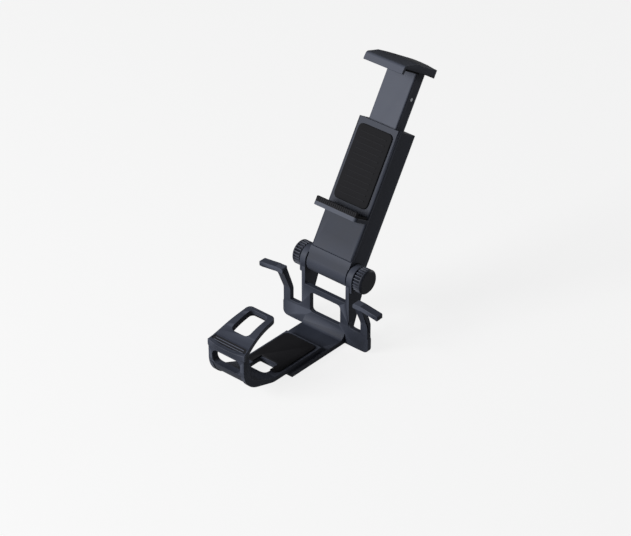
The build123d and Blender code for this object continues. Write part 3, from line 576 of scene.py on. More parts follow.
def eased(
    node: str,
    name: str,
    width_mm: float,
    segments: int = 2,
    carve: Callable[[bpy.types.Object], None] | None = None,
) -> bpy.types.Object:
    """Copy a CAD node with its sharp edges rounded, as a mould leaves them.

    Args:
        node: The CAD node.
        name: The new piece's name.
        width_mm: How far the rounding reaches from the edge.
        segments: Faces across the rounding.
        carve: Cuts further detail into the merged copy before its edges are rounded.

    Returns:
        The rounded copy.
    """
    work = bmesh.new()
    work.from_mesh(frame["nodes"][node].data)
    bmesh.ops.remove_doubles(work, verts=work.verts, dist=WELD)
    piece = linked_object(name, bpy.data.meshes.new(name))
    work.to_mesh(piece.data)
    if carve:
        carve(piece)
    work.clear()
    work.from_mesh(piece.data)
    bmesh.ops.dissolve_limit(work, angle_limit=FLAT, verts=work.verts, edges=work.edges)
    weigh_edges(work, width_mm * MM)
    work.to_mesh(piece.data)
    work.free()
    piece.data.polygons.foreach_set("use_smooth", [True] * len(piece.data.polygons))
    piece.data.set_sharp_from_angle(angle=CREASE)
    piece.data = rounded_mesh(piece, width_mm * MM, segments)
    weigh = piece.modifiers.new("shading", "WEIGHTED_NORMAL")
    weigh.keep_sharp = True
    weigh.weight = NORMAL_WEIGHT
    return settled(piece, None)


def rounded_mesh(piece: bpy.types.Object, width: float, segments: int) -> bpy.types.Mesh:
    """Round a piece's weighted edges, and leave out the corners where that goes astray.

    Args:
        piece: The piece, with edge weights and without modifiers.
        width: The full width of the rounding, in metres.
        segments: Faces across the rounding.

    Returns:
        The rounded mesh.
    """
    plain = piece.data
    sharp = BVHTree.FromPolygons(
        [vertex.co for vertex in plain.vertices],
        [tuple(face.vertices) for face in plain.polygons],
    )
    corners = KDTree(len(plain.vertices))
    for vertex in plain.vertices:
        corners.insert(vertex.co, vertex.index)
    corners.balance()
    bevel = piece.modifiers.new("easing", "BEVEL")
    bevel.width = width
    bevel.segments = segments
    bevel.limit_method = "WEIGHT"
    bevel.use_clamp_overlap = False
    left = set()
    for _ in range(ROUNDING_TRIES):
        bpy.context.view_layer.update()
        ready = piece.evaluated_get(bpy.context.evaluated_depsgraph_get())
        mesh = bpy.data.meshes.new_from_object(ready)
        astray = {
            vertex.index
            for vertex in mesh.vertices
            if sharp.find_nearest(vertex.co)[3] > STRAY_SHARE * width
        }
        if not astray:
            break
        beside = set()
        for edge in mesh.edges:
            first, second = edge.vertices
            if (first in astray) != (second in astray):
                sound = second if first in astray else first
                near = corners.find_range(mesh.vertices[sound].co, NEAR_WIDTHS * width)
                beside.update(index for _, index, _ in near)
        left |= beside
        weights = plain.attributes["bevel_weight_edge"].data
        for edge in plain.edges:
            if beside.intersection(edge.vertices):
                weights[edge.index].value = 0.0
        plain.update_tag()
    LOG.info("%s: %d corners left sharp, %d astray", piece.name, len(left), len(astray))
    piece.modifiers.clear()
    return mesh


# Repeats made with Geometry Nodes


def started_tree(
    name: str, inputs: dict[str, str]
) -> tuple[bpy.types.NodeTree, bpy.types.NodeOutputs]:
    """Start a node tree with its named inputs and a mesh as its result.

    Args:
        name: The tree's name.
        inputs: The kind of socket of each input, by name.

    Returns:
        The tree, and the sockets that give its inputs.
    """
    tree = bpy.data.node_groups.new(name, "GeometryNodeTree")
    for label, kind in inputs.items():
        tree.interface.new_socket(label, in_out="INPUT", socket_type="NodeSocket" + kind)
    tree.interface.new_socket("Geometry", in_out="OUTPUT", socket_type="NodeSocketGeometry")
    return tree, add_node(tree, "NodeGroupInput").outputs


def ended_tree(
    tree: bpy.types.NodeTree, repeats: bpy.types.NodeSocket, finish: bpy.types.NodeSocket
) -> bpy.types.NodeTree:
    """End a node tree: make its repeats real and give them their finish.

    Args:
        tree: The node tree.
        repeats: What it has set at each point.
        finish: The input that holds the material.

    Returns:
        The same tree.
    """
    real = add_node(tree, "GeometryNodeRealizeInstances", inputs={"Geometry": repeats})
    dressed = add_node(
        tree,
        "GeometryNodeSetMaterial",
        inputs={"Geometry": real.outputs[0], "Material": finish},
    )
    add_node(tree, "NodeGroupOutput", inputs={0: dressed.outputs[0]})
    return tree


@dataclass
class RibRow:
    """A row of straight round-topped ribs."""

    name: str
    count: int
    start: Vector
    step: Vector
    length_mm: float
    radius_mm: float
    rotation: tuple[float, float, float] = (0.0, 0.0, 0.0)
    growth: float = 0.0
    height: float = 1.0
    sides: int = 12

    INPUTS = {
        "Count": "Int",
        "Start": "Vector",
        "Step": "Vector",
        "Length": "Float",
        "Radius": "Float",
        "Rotation": "Vector",
        "Growth": "Float",
        "Height": "Float",
        "Finish": "Material",
    }

    def tree(self) -> bpy.types.NodeTree:
        """Build the row's node tree.

        Returns:
            The tree, with its named inputs.
        """
        tree, given = started_tree("rib_row", self.INPUTS)
        ends = []
        for share in (-0.5, 0.5):
            half = add_node(
                tree, "ShaderNodeMath", {"operation": "MULTIPLY"}, {0: given["Length"], 1: share}
            )
            ends.append(add_node(tree, "ShaderNodeCombineXYZ", inputs={"X": half.outputs[0]}))
        line = add_node(
            tree,
            "GeometryNodeCurvePrimitiveLine",
            inputs={"Start": ends[0].outputs[0], "End": ends[1].outputs[0]},
        )
        circle = add_node(
            tree,
            "GeometryNodeCurvePrimitiveCircle",
            inputs={"Resolution": self.sides, "Radius": given["Radius"]},
        )
        bar = add_node(
            tree,
            "GeometryNodeCurveToMesh",
            inputs={
                "Curve": line.outputs["Curve"],
                "Profile Curve": circle.outputs["Curve"],
                "Fill Caps": True,
            },
        )
        places = add_node(
            tree,
            "GeometryNodeMeshLine",
            inputs={
                "Count": given["Count"],
                "Start Location": given["Start"],
                "Offset": given["Step"],
            },
        )
        index = add_node(tree, "GeometryNodeInputIndex")
        longer = add_node(
            tree,
            "ShaderNodeMath",
            {"operation": "MULTIPLY_ADD"},
            {0: index.outputs[0], 1: given["Growth"], 2: 1.0},
        )
        scale = add_node(
            tree,
            "ShaderNodeCombineXYZ",
            inputs={"X": longer.outputs[0], "Y": 1.0, "Z": given["Height"]},
        )
        row = add_node(
            tree,
            "GeometryNodeInstanceOnPoints",
            inputs={
                "Points": places.outputs["Mesh"],
                "Instance": bar.outputs["Mesh"],
                "Rotation": given["Rotation"],
                "Scale": scale.outputs[0],
            },
        )
        return ended_tree(tree, row.outputs[0], given["Finish"])

    def fit(self, finishes: Finishes, slot: str, body: Body) -> None:
        """Build the row as a plain mesh and dress it.

        Args:
            finishes: The clip's materials.
            slot: The record's material slot.
            body: The body that the row rides on.
        """
        values = {
            "Count": self.count,
            "Start": self.start,
            "Step": self.step,
            "Length": self.length_mm * MM,
            "Radius": self.radius_mm * MM,
            "Rotation": self.rotation,
            "Growth": self.growth,
            "Height": self.height,
            "Finish": finishes.of(slot),
        }
        row = grown(self.name, self.tree(), values, bpy.data.meshes.new(self.name))
        finishes.dress(row, slot, body)


def grown(
    name: str, tree: bpy.types.NodeTree, values: dict[str, object], seed_mesh: bpy.types.Mesh
) -> bpy.types.Object:
    """Run a node tree on a mesh, with its inputs set by identifier, and keep the result.

    Args:
        name: The piece's name.
        tree: The node tree.
        values: Its inputs, by name.
        seed_mesh: The mesh that it starts from.

    Returns:
        The piece as plain mesh.
    """
    piece = linked_object(name, seed_mesh)
    modifier = piece.modifiers.new("repeat", "NODES")
    modifier.node_group = tree
    for item in tree.interface.items_tree:
        if item.in_out == "INPUT" and item.name in values:
            value = values[item.name]
            plain = tuple(value) if isinstance(value, Vector) else value
            modifier[item.identifier] = plain
    return settled(piece)


@dataclass
class ScrewSet:
    """Alike screws with a cross recess and a helical thread, set at given places."""

    name: str
    heads: list[Vector]
    turn: Matrix
    head_radius: float
    head_height: float
    shank_radius: float
    length: float
    countersunk: bool = False
    pitch: float = 0.6
    thread_depth: float = 0.12
    recess_share: float = 0.6
    recess_width: float = 0.5
    recess_depth: float = 0.6
    rim: float = 0.2
    head_draft: float = 0.05
    neck: float = 0.1
    plain_tip: float = 0.6
    tip_length: float = 0.3
    tip_taper: float = 0.2
    stations_per_pitch: int = 4
    columns: int = 24
    crease: float = math.radians(50)

    def blank(self) -> bpy.types.Object:
        """Turn one screw, with its head's face at the origin and its tip up along Z.

        Returns:
            The screw, cut with its recess.
        """
        head = [(0.0, 0.0), (0.0, self.head_radius - self.rim), (self.rim, self.head_radius)]
        if not self.countersunk:
            head.append((self.head_height - self.head_draft, self.head_radius))
        head.append((self.head_height, self.shank_radius))
        gap = self.pitch / self.stations_per_pitch
        stations = int((self.length - self.head_height - self.plain_tip) / gap)
        shank = [
            (self.head_height + self.neck + gap * step, self.shank_radius)
            for step in range(stations)
        ]
        tip = [
            (self.length - self.tip_length, self.shank_radius - self.tip_taper),
            (self.length, 0.0),
        ]
        profile = head + shank + tip
        mesh = closed_mesh(self.name + "_blank", turned(profile, self.columns, self.thread))
        screw = linked_object(self.name + "_blank", mesh)
        cross = bmesh.new()
        reach = 2 * self.head_radius * self.recess_share
        for size in ((reach, self.recess_width), (self.recess_width, reach)):
            size_m = Vector((size[0], size[1], 2 * self.recess_depth)) * MM
            bmesh.ops.create_cube(cross, size=1.0, matrix=Matrix.Diagonal(size_m).to_4x4())
        cutter = linked_object(self.name + "_cutter", bpy.data.meshes.new("cross_recess"))
        cross.to_mesh(cutter.data)
        cross.free()
        cut_away(screw, cutter)
        return settled(screw, self.crease)

    def thread(self, angle: float, height: float, radius: float) -> float:
        """Wind the thread round the shank.

        Args:
            angle: Place round the screw.
            height: Distance from the head's face, in millimetres.
            radius: The plain radius there.

        Returns:
            The radius with the thread's groove taken off.
        """
        start = self.head_height + self.neck / 2
        if not start < height < self.length - self.tip_length - self.neck:
            return radius
        wave = math.cos(2 * math.pi * height / self.pitch - angle)
        return radius - self.thread_depth * (0.5 - 0.5 * wave)

    def tree(self) -> bpy.types.NodeTree:
        """Build the node tree that sets one screw at each point.

        Returns:
            The tree, with its named inputs.
        """
        inputs = {
            "Places": "Geometry",
            "Screw": "Object",
            "Rotation": "Vector",
            "Finish": "Material",
        }
        tree, given = started_tree("screw_set", inputs)
        screw = add_node(tree, "GeometryNodeObjectInfo", inputs={"Object": given["Screw"]})
        placed = add_node(
            tree,
            "GeometryNodeInstanceOnPoints",
            inputs={
                "Points": given["Places"],
                "Instance": screw.outputs["Geometry"],
                "Rotation": given["Rotation"],
            },
        )
        return ended_tree(tree, placed.outputs[0], given["Finish"])

    def fit(self, finishes: Finishes, body: Body, node: str) -> None:
        """Build all screws of the set as one plain mesh and dress it.

        Args:
            finishes: The clip's materials.
            body: The body that the screws ride on.
            node: The CAD node that they replace.
        """
        blank = self.blank()
        points = bpy.data.meshes.new(self.name)
        points.from_pydata([tuple(place) for place in self.heads], [], [])
        values = {
            "Screw": blank,
            "Rotation": tuple(self.turn.to_euler()),
            "Finish": finishes.of("black_screws"),
        }
        made = grown(self.name, self.tree(), values, points)
        bpy.data.objects.remove(blank)
        finishes.dress(made, "black_screws", body, node)


# Sub-assemblies


@dataclass
class Bracket:
    """The front bracket with its thumb ledge, the back frame, their pads and screws."""

    easing_mm: float = 0.28
    ledge_y: float = -37.6
    ledge_z: float = 25.5
    ledge_slope: float = 0.37
    pocket_rear: float = -36.2
    pocket_front: float = -39.9
    pocket_corner: float = -38.7
    pocket_rear_half: float = 10.6
    pocket_front_half: float = 11.8
    pocket_depth: float = 1.6
    ledge_ribs: int = 2
    rib_y: float = -37.35
    rib_step: float = 1.4
    rib_sink: float = 0.7
    rib_radius: float = 0.27
    rib_length: float = 19.6
    rib_growth: float = 0.06
    rib_height: float = 2.4
    cutter_top: float = 3.0
    # Height and wall gap of the dark sheet in the ledge's pocket, which is painted shade.
    shade_sheet_top: float = -0.3
    shade_sheet_gap: float = 0.02
    bow_steps: int = 12
    pad_easing_mm: float = 0.22
    screw_x: float = 4.6
    screw_y: tuple[float, float] = (0.0, 14.0)
    screw_low: float = -6.0
    screw_length: float = 4.5

    def on_ledge(self, x: float, y: float, over: float = 0.0) -> Vector:
        """Give a point over the sloping ledge.

        Args:
            x: Its place to the right, in millimetres.
            y: Its place behind the row's origin, in millimetres.
            over: Its height over the ledge, in millimetres.

        Returns:
            The point, in metres.
        """
        return Vector((x, y, self.ledge_z + (y - self.ledge_y) * self.ledge_slope + over)) * MM

    def pocket_fill(self, name: str, top: float, gap: float = 0.0) -> bpy.types.Mesh:
        """Fill the ledge's pocket, whose front edge is bowed, up to a height.

        Args:
            name: The mesh's name.
            top: How high the filling reaches over the ledge, in millimetres.
            gap: How far it stays from the pocket's walls, in millimetres.

        Returns:
            The filling.
        """
        half, rear = self.pocket_rear_half - gap, self.pocket_rear - gap
        plan = [(-half, rear), (half, rear)]
        for step in range(self.bow_steps + 1):
            share = 1 - 2 * step / self.bow_steps
            y = self.pocket_front + gap + (self.pocket_corner - self.pocket_front) * share**2
            plan.append((share * (self.pocket_front_half - gap), y))
        work = bmesh.new()
        low = [work.verts.new(self.on_ledge(x, y, gap - self.pocket_depth)) for x, y in plan]
        high = [work.verts.new(self.on_ledge(x, y, top)) for x, y in plan]
        work.faces.new(low)
        work.faces.new(high)
        bridge(work, [low, high])
        return closed_mesh(name, work)

    def carve_pocket(self, piece: bpy.types.Object) -> None:
        """Cut the shallow pocket into the thumb ledge.

        Args:
            piece: The front bracket's copy, which is cut in place.
        """
        cutter = self.pocket_fill("pocket_cutter", self.cutter_top)
        cut_away(piece, linked_object("pocket_cutter", cutter))

    def build(self, finishes: Finishes) -> None:
        """Build and dress all pieces of the bracket.

        Args:
            finishes: The clip's materials.
        """
        front = eased(
            "front_bracket", "moulded_front_bracket", self.easing_mm, carve=self.carve_pocket
        )
        finishes.dress(front, "black_plastic", Body.BRACKET, "front_bracket")
        back = eased("back_frame", "moulded_frame", self.easing_mm)
        finishes.dress(back, "black_plastic", Body.BRACKET, "back_frame")
        ribs = RibRow(
            "ledge_ribs",
            self.ledge_ribs,
            self.on_ledge(0, self.rib_y, -self.rib_sink),
            self.on_ledge(0, self.rib_y - self.rib_step) - self.on_ledge(0, self.rib_y),
            self.rib_length,
            self.rib_radius,
            growth=self.rib_growth,
            height=self.rib_height,
        )
        ribs.fit(finishes, "black_plastic", Body.BRACKET)
        # Painted shade: a dark rubber sheet fills the ledge's pocket around the ribs, where shadow
        # falls.
        fill = self.pocket_fill("ledge_grip_inlay", self.shade_sheet_top, self.shade_sheet_gap)
        shade_sheet = settled(linked_object("ledge_grip_inlay", fill))
        finishes.dress(shade_sheet, "soft_rubber", Body.BRACKET)
        for node in ("floor_pad", "tongue_pad", "right_hook_pad", "left_hook_pad"):
            pad = eased(node, "soft_" + node, self.pad_easing_mm, 3)
            finishes.dress(pad, "soft_rubber", Body.BRACKET, node)
        places = [
            Vector((x, y, self.screw_low)) * MM
            for x in (-self.screw_x, self.screw_x)
            for y in self.screw_y
        ]
        screws = ScrewSet(
            "countersunk_screws",
            places,
            Matrix(),
            head_radius=2.1,
            head_height=1.2,
            shank_radius=1.1,
            length=self.screw_length,
            countersunk=True,
        )
        screws.fit(finishes, Body.BRACKET, "bracket_screws")


@dataclass
class Knobs:
    """The two knobs that tighten the hinge."""

    inner_x: float = 18.7
    outer_x: float = 24.0
    radius: float = 6.95
    rounding: float = 0.9
    grooves: int = 24
    groove_depth: float = 0.9
    pocket_radius: float = 4.66
    pocket_depth: float = 3.2
    bore_radius: float = 2.6
    bore_end: float = 23.0
    groove_share: float = 0.55
    groove_land: float = 0.3
    groove_fade: float = 0.45
    columns_per_groove: int = 8

    # The rounded rim: how far along and inwards each station lies from the rounding's start, and
    # for the last ones from the end face.
    RIM = ((-0.8, 0.0), (-0.4, 0.0), (0.0, 0.0), (0.12, 0.04), (0.3, 0.2))
    END = ((0.3, -0.25), (0.08, -0.08), (0.0, 0.12), (0.0, 0.5))

    def profile(self) -> list[tuple[float, float]]:
        """Give the knob's section from the blind bore round to the end face.

        Returns:
            Distance from the middle plane and radius of each station.
        """
        inside = [
            (self.bore_end, 0.0),
            (self.bore_end, self.bore_radius),
            (self.inner_x + self.pocket_depth, self.bore_radius),
            (self.inner_x + self.pocket_depth, self.pocket_radius),
            (self.inner_x, self.pocket_radius),
            (self.inner_x, self.radius - self.groove_depth - 0.5),
            (self.inner_x + 0.02, self.radius - 0.12),
            (self.inner_x + 0.2, self.radius),
        ]
        start = self.outer_x - self.rounding
        low = self.radius - self.rounding
        rim = [(start + along, self.radius - inwards) for along, inwards in self.RIM]
        end = [(self.outer_x - along, low - inwards) for along, inwards in self.END]
        return inside + rim + end + [(self.outer_x, 0.0)]

    def fluted(self, angle: float, along: float, radius: float) -> float:
        """Sink the grooves into the rim, each with a round end.

        Args:
            angle: Place round the rim.
            along: Distance from the middle plane.
            radius: The plain radius there.

        Returns:
            The radius with the groove taken off.
        """
        end = self.outer_x - self.rounding - self.groove_land
        if radius < self.radius - 0.2 or along > end:
            return radius
        fade = min(1.0, max(0.0, (end - along) / self.groove_fade))
        phase = (angle * self.grooves / (2 * math.pi)) % 1.0
        away = abs(phase - 0.5) * 2
        bowl = max(0.0, 1 - (away / self.groove_share) ** 2) ** 0.5
        return radius - self.groove_depth * fade * bowl

    def build(self, finishes: Finishes) -> None:
        """Build and dress both knobs.

        Args:
            finishes: The clip's materials.
        """
        outwards = Matrix.Rotation(math.pi / 2, 4, "Y")
        for side, body in ((1, Body.RIGHT_KNOB), (-1, Body.LEFT_KNOB)):
            facing = Matrix.Identity(4) if side > 0 else Matrix.Rotation(math.pi, 4, "Z")
            steps = self.grooves * self.columns_per_groove
            work = turned(self.profile(), steps, self.fluted)
            place = Matrix.Translation(HINGE) @ facing @ outwards
            name = body.value.replace("_", "_grooved_")
            piece = settled(linked_object(name, closed_mesh(name, work, place)))
            piece.modifiers.new("shading", "WEIGHTED_NORMAL").keep_sharp = True
            finishes.dress(settled(piece, None), "knob_plastic", body, body.value)


@dataclass
class Clamp:
    """The tilting arm: rear shell with the barrel, front cover with the lower jaw, pads, screws."""

    easing_mm: float = 0.3
    screw_x: float = 12.2
    screw_z: tuple[float, float] = (11.5, 72.0)
    head_y: float = 8.5
    screw_length: float = 11.3
    jaw_front: float = 18.0
    lip_low: float = 30.9
    lip_high: float = 33.1
    pad_half: float = 13.6
    rib_pitch: float = 1.3
    back_pad_y: float = -7.9
    back_pad_low: float = 35.0
    back_pad_top: float = 77.0
    back_pad_half: float = 11.5
    back_pad_corner: float = 3.0
    back_pad_edge: float = 0.5
    front_y: float = -6.79
    shelf_low: float = 28.41
    seam_z: float = 6.95
    seam_gap: float = 0.4
    seam_width: float = 30.0
    gusset_x: float = 7.0
    gusset_room: tuple[float, float, float] = (2.4, 7.0, 4.0)
    lip_rib_radius: float = 0.40
    pad_rows: int = 12
    row_length: float = 17.0
    row_radius: float = 0.32
    row_margin: float = 4.0
    rib_sink: float = 0.12
    edge_steps: int = 5
    corner_steps: int = 6
    crown: float = 0.25
    crown_levels: tuple[tuple[float, float], ...] = ((2.0, 0.1), (4.5, 0.0))

    def carve_cover(self, piece: bpy.types.Object) -> None:
        """Clear the two small gussets under the shelf and open the seam over the barrel.

        Args:
            piece: The front cover's copy, which is cut in place.
        """
        room = self.gusset_room
        y, z = self.front_y - room[1] / 2, self.shelf_low - room[2] / 2
        seam = (self.seam_width, 1.0, self.seam_gap)
        work = bmesh.new()
        for centre, sides in (
            ((-self.gusset_x, y, z), room),
            ((self.gusset_x, y, z), room),
            ((0.0, self.front_y, self.seam_z), seam),
        ):
            size = Matrix.Diagonal((*(side * MM for side in sides), 1.0))
            place = CLAMP_PLACE @ Matrix.Translation(Vector(centre) * MM) @ size
            bmesh.ops.create_cube(work, size=1.0, matrix=place)
        cut_away(piece, linked_object("cover_cutter", closed_mesh("cover_cutter", work)))

    def build(self, finishes: Finishes) -> None:
        """Build and dress all pieces of the arm.

        Args:
            finishes: The clip's materials.
        """
        rear = eased("rear_shell", "moulded_rear_shell", self.easing_mm, 3)
        finishes.dress(rear, "black_plastic", Body.CLAMP, "rear_shell")
        cover = eased(
            "front_cover", "moulded_front_cover", self.easing_mm, 3, carve=self.carve_cover
        )
        finishes.dress(cover, "black_plastic", Body.CLAMP, "front_cover")
        low_pad = eased("lower_jaw_pad", "soft_lower_jaw_pad", 0.3, 3)
        for pad, node in ((low_pad, "lower_jaw_pad"), (self.back_pad(), "back_pad")):
            finishes.dress(pad, "soft_rubber", Body.CLAMP, node)
        self.pad_ribs(finishes)
        places = [
            in_clamp(self.head_y, z, x) for x in (-self.screw_x, self.screw_x) for z in self.screw_z
        ]
        screws = ScrewSet(
            "shell_pan_screws",
            places,
            FORWARDS,
            head_radius=1.3,
            head_height=1.2,
            shank_radius=0.7,
            length=self.screw_length,
            thread_depth=0.08,
        )
        screws.fit(finishes, Body.CLAMP, "shell_screws")

    def back_pad(self) -> bpy.types.Object:
        """Build the back pad: a rounded plate of rubber with a soft edge and a slight crown.

        Returns:
            The pad.
        """
        half_x, base = self.back_pad_half, self.front_y
        middle = (self.back_pad_low + self.back_pad_top) / 2
        half_z = (self.back_pad_top - self.back_pad_low) / 2
        thick, edge = base - self.back_pad_y, self.back_pad_edge
        wall = thick - edge - self.crown
        levels = [(0.0, 0.0), (0.0, wall)]
        for step in range(1, self.edge_steps + 1):
            angle = math.pi / 2 * step / self.edge_steps
            levels.append((edge * (1 - math.cos(angle)), wall + edge * math.sin(angle)))
        levels += [(edge + inset, thick - drop) for inset, drop in self.crown_levels]
        work = bmesh.new()
        rings = []
        for inset, height in levels:
            ring = []
            corner = max(self.back_pad_corner - inset, 0.3)
            for quarter in range(4):
                sx, sz = ((1, 1), (-1, 1), (-1, -1), (1, -1))[quarter]
                for step in range(self.corner_steps + 1):
                    angle = math.pi / 2 * (quarter + step / self.corner_steps)
                    x = sx * (half_x - inset - corner) + corner * math.cos(angle)
                    z = sz * (half_z - inset - corner) + corner * math.sin(angle)
                    ring.append(work.verts.new(in_clamp(base - height, middle + z, x)))
            rings.append(ring)
        bridge(work, rings)
        work.faces.new(rings[0])
        work.faces.new(rings[-1])
        return settled(linked_object("soft_back_pad", closed_mesh("soft_back_pad", work)))

    def pad_ribs(self, finishes: Finishes) -> None:
        """Build the fine upright ribs on the lower pad's lip and the cross ribs of the back pad.

        Args:
            finishes: The clip's materials.
        """
        count = int(2 * (self.pad_half - 0.5) / self.rib_pitch)
        first = -(count - 1) / 2 * self.rib_pitch
        upright = (LEAN @ Matrix.Rotation(math.pi / 2, 4, "Y")).to_euler()
        middle = (self.lip_low + self.lip_high) / 2
        lip = RibRow(
            "lower_pad_ribs",
            count,
            in_clamp(-self.jaw_front + self.rib_sink, middle, first),
            Vector((self.rib_pitch, 0, 0)) * MM,
            self.lip_high - self.lip_low,
            self.lip_rib_radius,
            tuple(upright),
        )
        lip.fit(finishes, "soft_rubber", Body.CLAMP)
        reach = self.back_pad_top - self.back_pad_low - 2 * self.row_margin
        gap = reach / (self.pad_rows - 1)
        back = RibRow(
            "back_pad_ribs",
            self.pad_rows,
            in_clamp(self.back_pad_y + self.rib_sink, self.back_pad_low + self.row_margin),
            in_clamp(0, gap) - in_clamp(0, 0),
            self.row_length,
            self.row_radius,
        )
        back.fit(finishes, "soft_rubber", Body.CLAMP)


@dataclass
class SlidingJaw:
    """The upper jaw on its stem, with pad and screws."""

    easing_mm: float = 0.8
    underside: float = 112.3
    stem_rear: float = 4.2
    screw_x: float = 5.0
    screw_drop: float = 5.0

    def build(self, finishes: Finishes) -> None:
        """Build and dress all pieces of the jaw.

        Args:
            finishes: The clip's materials.
        """
        jaw = eased("upper_jaw", "moulded_upper_jaw", self.easing_mm, 3)
        finishes.dress(jaw, "black_plastic", Body.JAW, "upper_jaw")
        stem = eased("jaw_stem", "moulded_jaw_stem", 0.25)
        finishes.dress(stem, "black_plastic", Body.JAW, "jaw_stem")
        pad = eased("upper_jaw_pad", "soft_upper_jaw_pad", 0.35, 4)
        finishes.dress(pad, "soft_rubber", Body.JAW, "upper_jaw_pad")
        height = self.underside - self.screw_drop
        places = [in_clamp(self.stem_rear, height, x) for x in (-self.screw_x, self.screw_x)]
        screws = ScrewSet(
            "jaw_pan_screws",
            places,
            FORWARDS,
            head_radius=1.6,
            head_height=0.9,
            shank_radius=0.8,
            length=4.8,
            thread_depth=0.1,
        )
        screws.fit(finishes, Body.JAW, "jaw_screws")


@dataclass
class PullSprings:
    """The two wound pull springs between their cross pins."""

    at_x: float = 4.4
    middle_y: float = -0.1
    low_pin: float = 19.0
    high_pin: float = 97.3
    coil_radius: float = 1.9
    wire_radius: float = 0.26
    hook_radius: float = 1.32
    hook_rise: float = 3.0
    hook_start: float = -50.0
    hook_sweep: float = 285.0
    hook_points: int = 10
    turns: int = 40
    points_per_turn: int = 12

    def path(self, x: float) -> list[Vector]:
        """Give the wire's line from the lower hook through the coil to the upper hook.

        Args:
            x: The spring's place across the arm.

        Returns:
            The points, in metres.
        """
        start, end = self.low_pin + self.hook_rise, self.high_pin - self.hook_rise
        coil = []
        for step in range(self.turns * self.points_per_turn + 1):
            angle = 2 * math.pi * step / self.points_per_turn
            share = step / (self.turns * self.points_per_turn)
            height = start + (end - start) * share
            across = x + self.coil_radius * math.sin(angle)
            coil.append((across, self.middle_y + self.coil_radius * math.cos(angle), height))
        lower = self.hook(x, self.low_pin, -1)
        upper = self.hook(x, self.high_pin, 1)
        points = list(reversed(lower)) + coil + upper
        return [in_clamp(y, z, across) for across, y, z in points]

    def hook(self, x: float, pin: float, side: int) -> list[tuple[float, float, float]]:
        """Give the hook round one pin, from the coil's end outwards.

        Args:
            x: The spring's place across the arm.
            pin: The pin's height over the hinge.
            side: 1 for the upper pin, -1 for the lower.

        Returns:
            The hook's points, in millimetres.
        """
        points = []
        for step in range(self.hook_points):
            angle = math.radians(
                self.hook_start + self.hook_sweep * step / (self.hook_points - 1)
            )
            y = self.middle_y + self.hook_radius * math.cos(angle)
            points.append((x, y, pin + side * self.hook_radius * math.sin(angle)))
        return points

    def build(self, finishes: Finishes) -> None:
        """Build and dress both springs, which run from the arm below to the jaw above.

        Args:
            finishes: The clip's materials.
        """
        for side, node in ((1, "right_spring"), (-1, "left_spring")):
            points = self.path(side * self.at_x)
            wire = bpy.data.curves.new(node + "_wire", "CURVE")
            wire.dimensions = "3D"
            wire.bevel_depth = self.wire_radius * MM
            wire.bevel_resolution = 1
            wire.use_fill_caps = True
            line = wire.splines.new("POLY")
            line.points.add(len(points) - 1)
            for point, place in zip(line.points, points):
                point.co = (*place, 1.0)
            name = "wound_" + node
            drawn = linked_object(name + "_line", wire)
            ready = drawn.evaluated_get(bpy.context.evaluated_depsgraph_get())
            mesh = bpy.data.meshes.new_from_object(ready)
            bpy.data.objects.remove(drawn)
            piece = settled(linked_object(name, mesh), math.radians(60))
            piece.data.materials.clear()
            piece.data.materials.append(finishes.of("spring_steel"))
            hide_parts(node)
            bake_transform(piece)
            LOG.info("%s: %d faces between arm and jaw", name, len(piece.data.polygons))


def dress_small_parts(finishes: Finishes) -> None:
    """Give the CAD nodes that stay as they are their real finishes.

    Args:
        finishes: The clip's materials.
    """
    slots = {part["node"]: part["material_slot"] for part in frame["record"]["subparts"]}
    for name, node in frame["nodes"].items():
        if node.hide_render:
            continue
        for slot in node.material_slots:
            slot.material = finishes.of(slots[name])
        LOG.info("%s keeps its CAD shape", name)


# View and studio


@dataclass
class PictureView:
    """The camera at the picture's viewing angle."""

    azimuth: float = 41.15
    elevation: float = 32.71
    distance: float = 1430.0 * MM
    focal_px: float = 2700.0
    width_px: float = 631.0
    height_px: float = 536.0
    sensor_mm: float = 36.0
    hinge_px: tuple[float, float] = (333.96, 266.59)

    def build(self) -> bpy.types.Object:
        """Place the camera so that the hinge's middle falls on its place in the picture.

        Returns:
            The camera object.
        """
        turn, rise = math.radians(self.azimuth), math.radians(self.elevation)
        back = Vector(
            (math.sin(turn) * math.cos(rise), -math.cos(turn) * math.cos(rise), math.sin(rise))
        )
        right = Vector((math.cos(turn), math.sin(turn), 0.0))
        up = back.cross(right)
        per_px = self.distance / self.focal_px
        across = (self.hinge_px[0] - self.width_px / 2) * per_px
        above = (self.height_px / 2 - self.hinge_px[1]) * per_px
        lens = bpy.data.cameras.new("picture_camera")
        lens.sensor_width = self.sensor_mm
        lens.lens = self.focal_px / self.width_px * self.sensor_mm
        lens.clip_start, lens.clip_end = 0.05, 50.0
        camera = bpy.data.objects.new("picture_camera", lens)
        bpy.context.scene.collection.objects.link(camera)
        camera.location = HINGE - right * across - up * above + back * self.distance
        camera.rotation_mode = "QUATERNION"
        camera.rotation_quaternion = (-back).to_track_quat("-Z", "Y")
        bpy.context.scene.camera = camera
        return camera


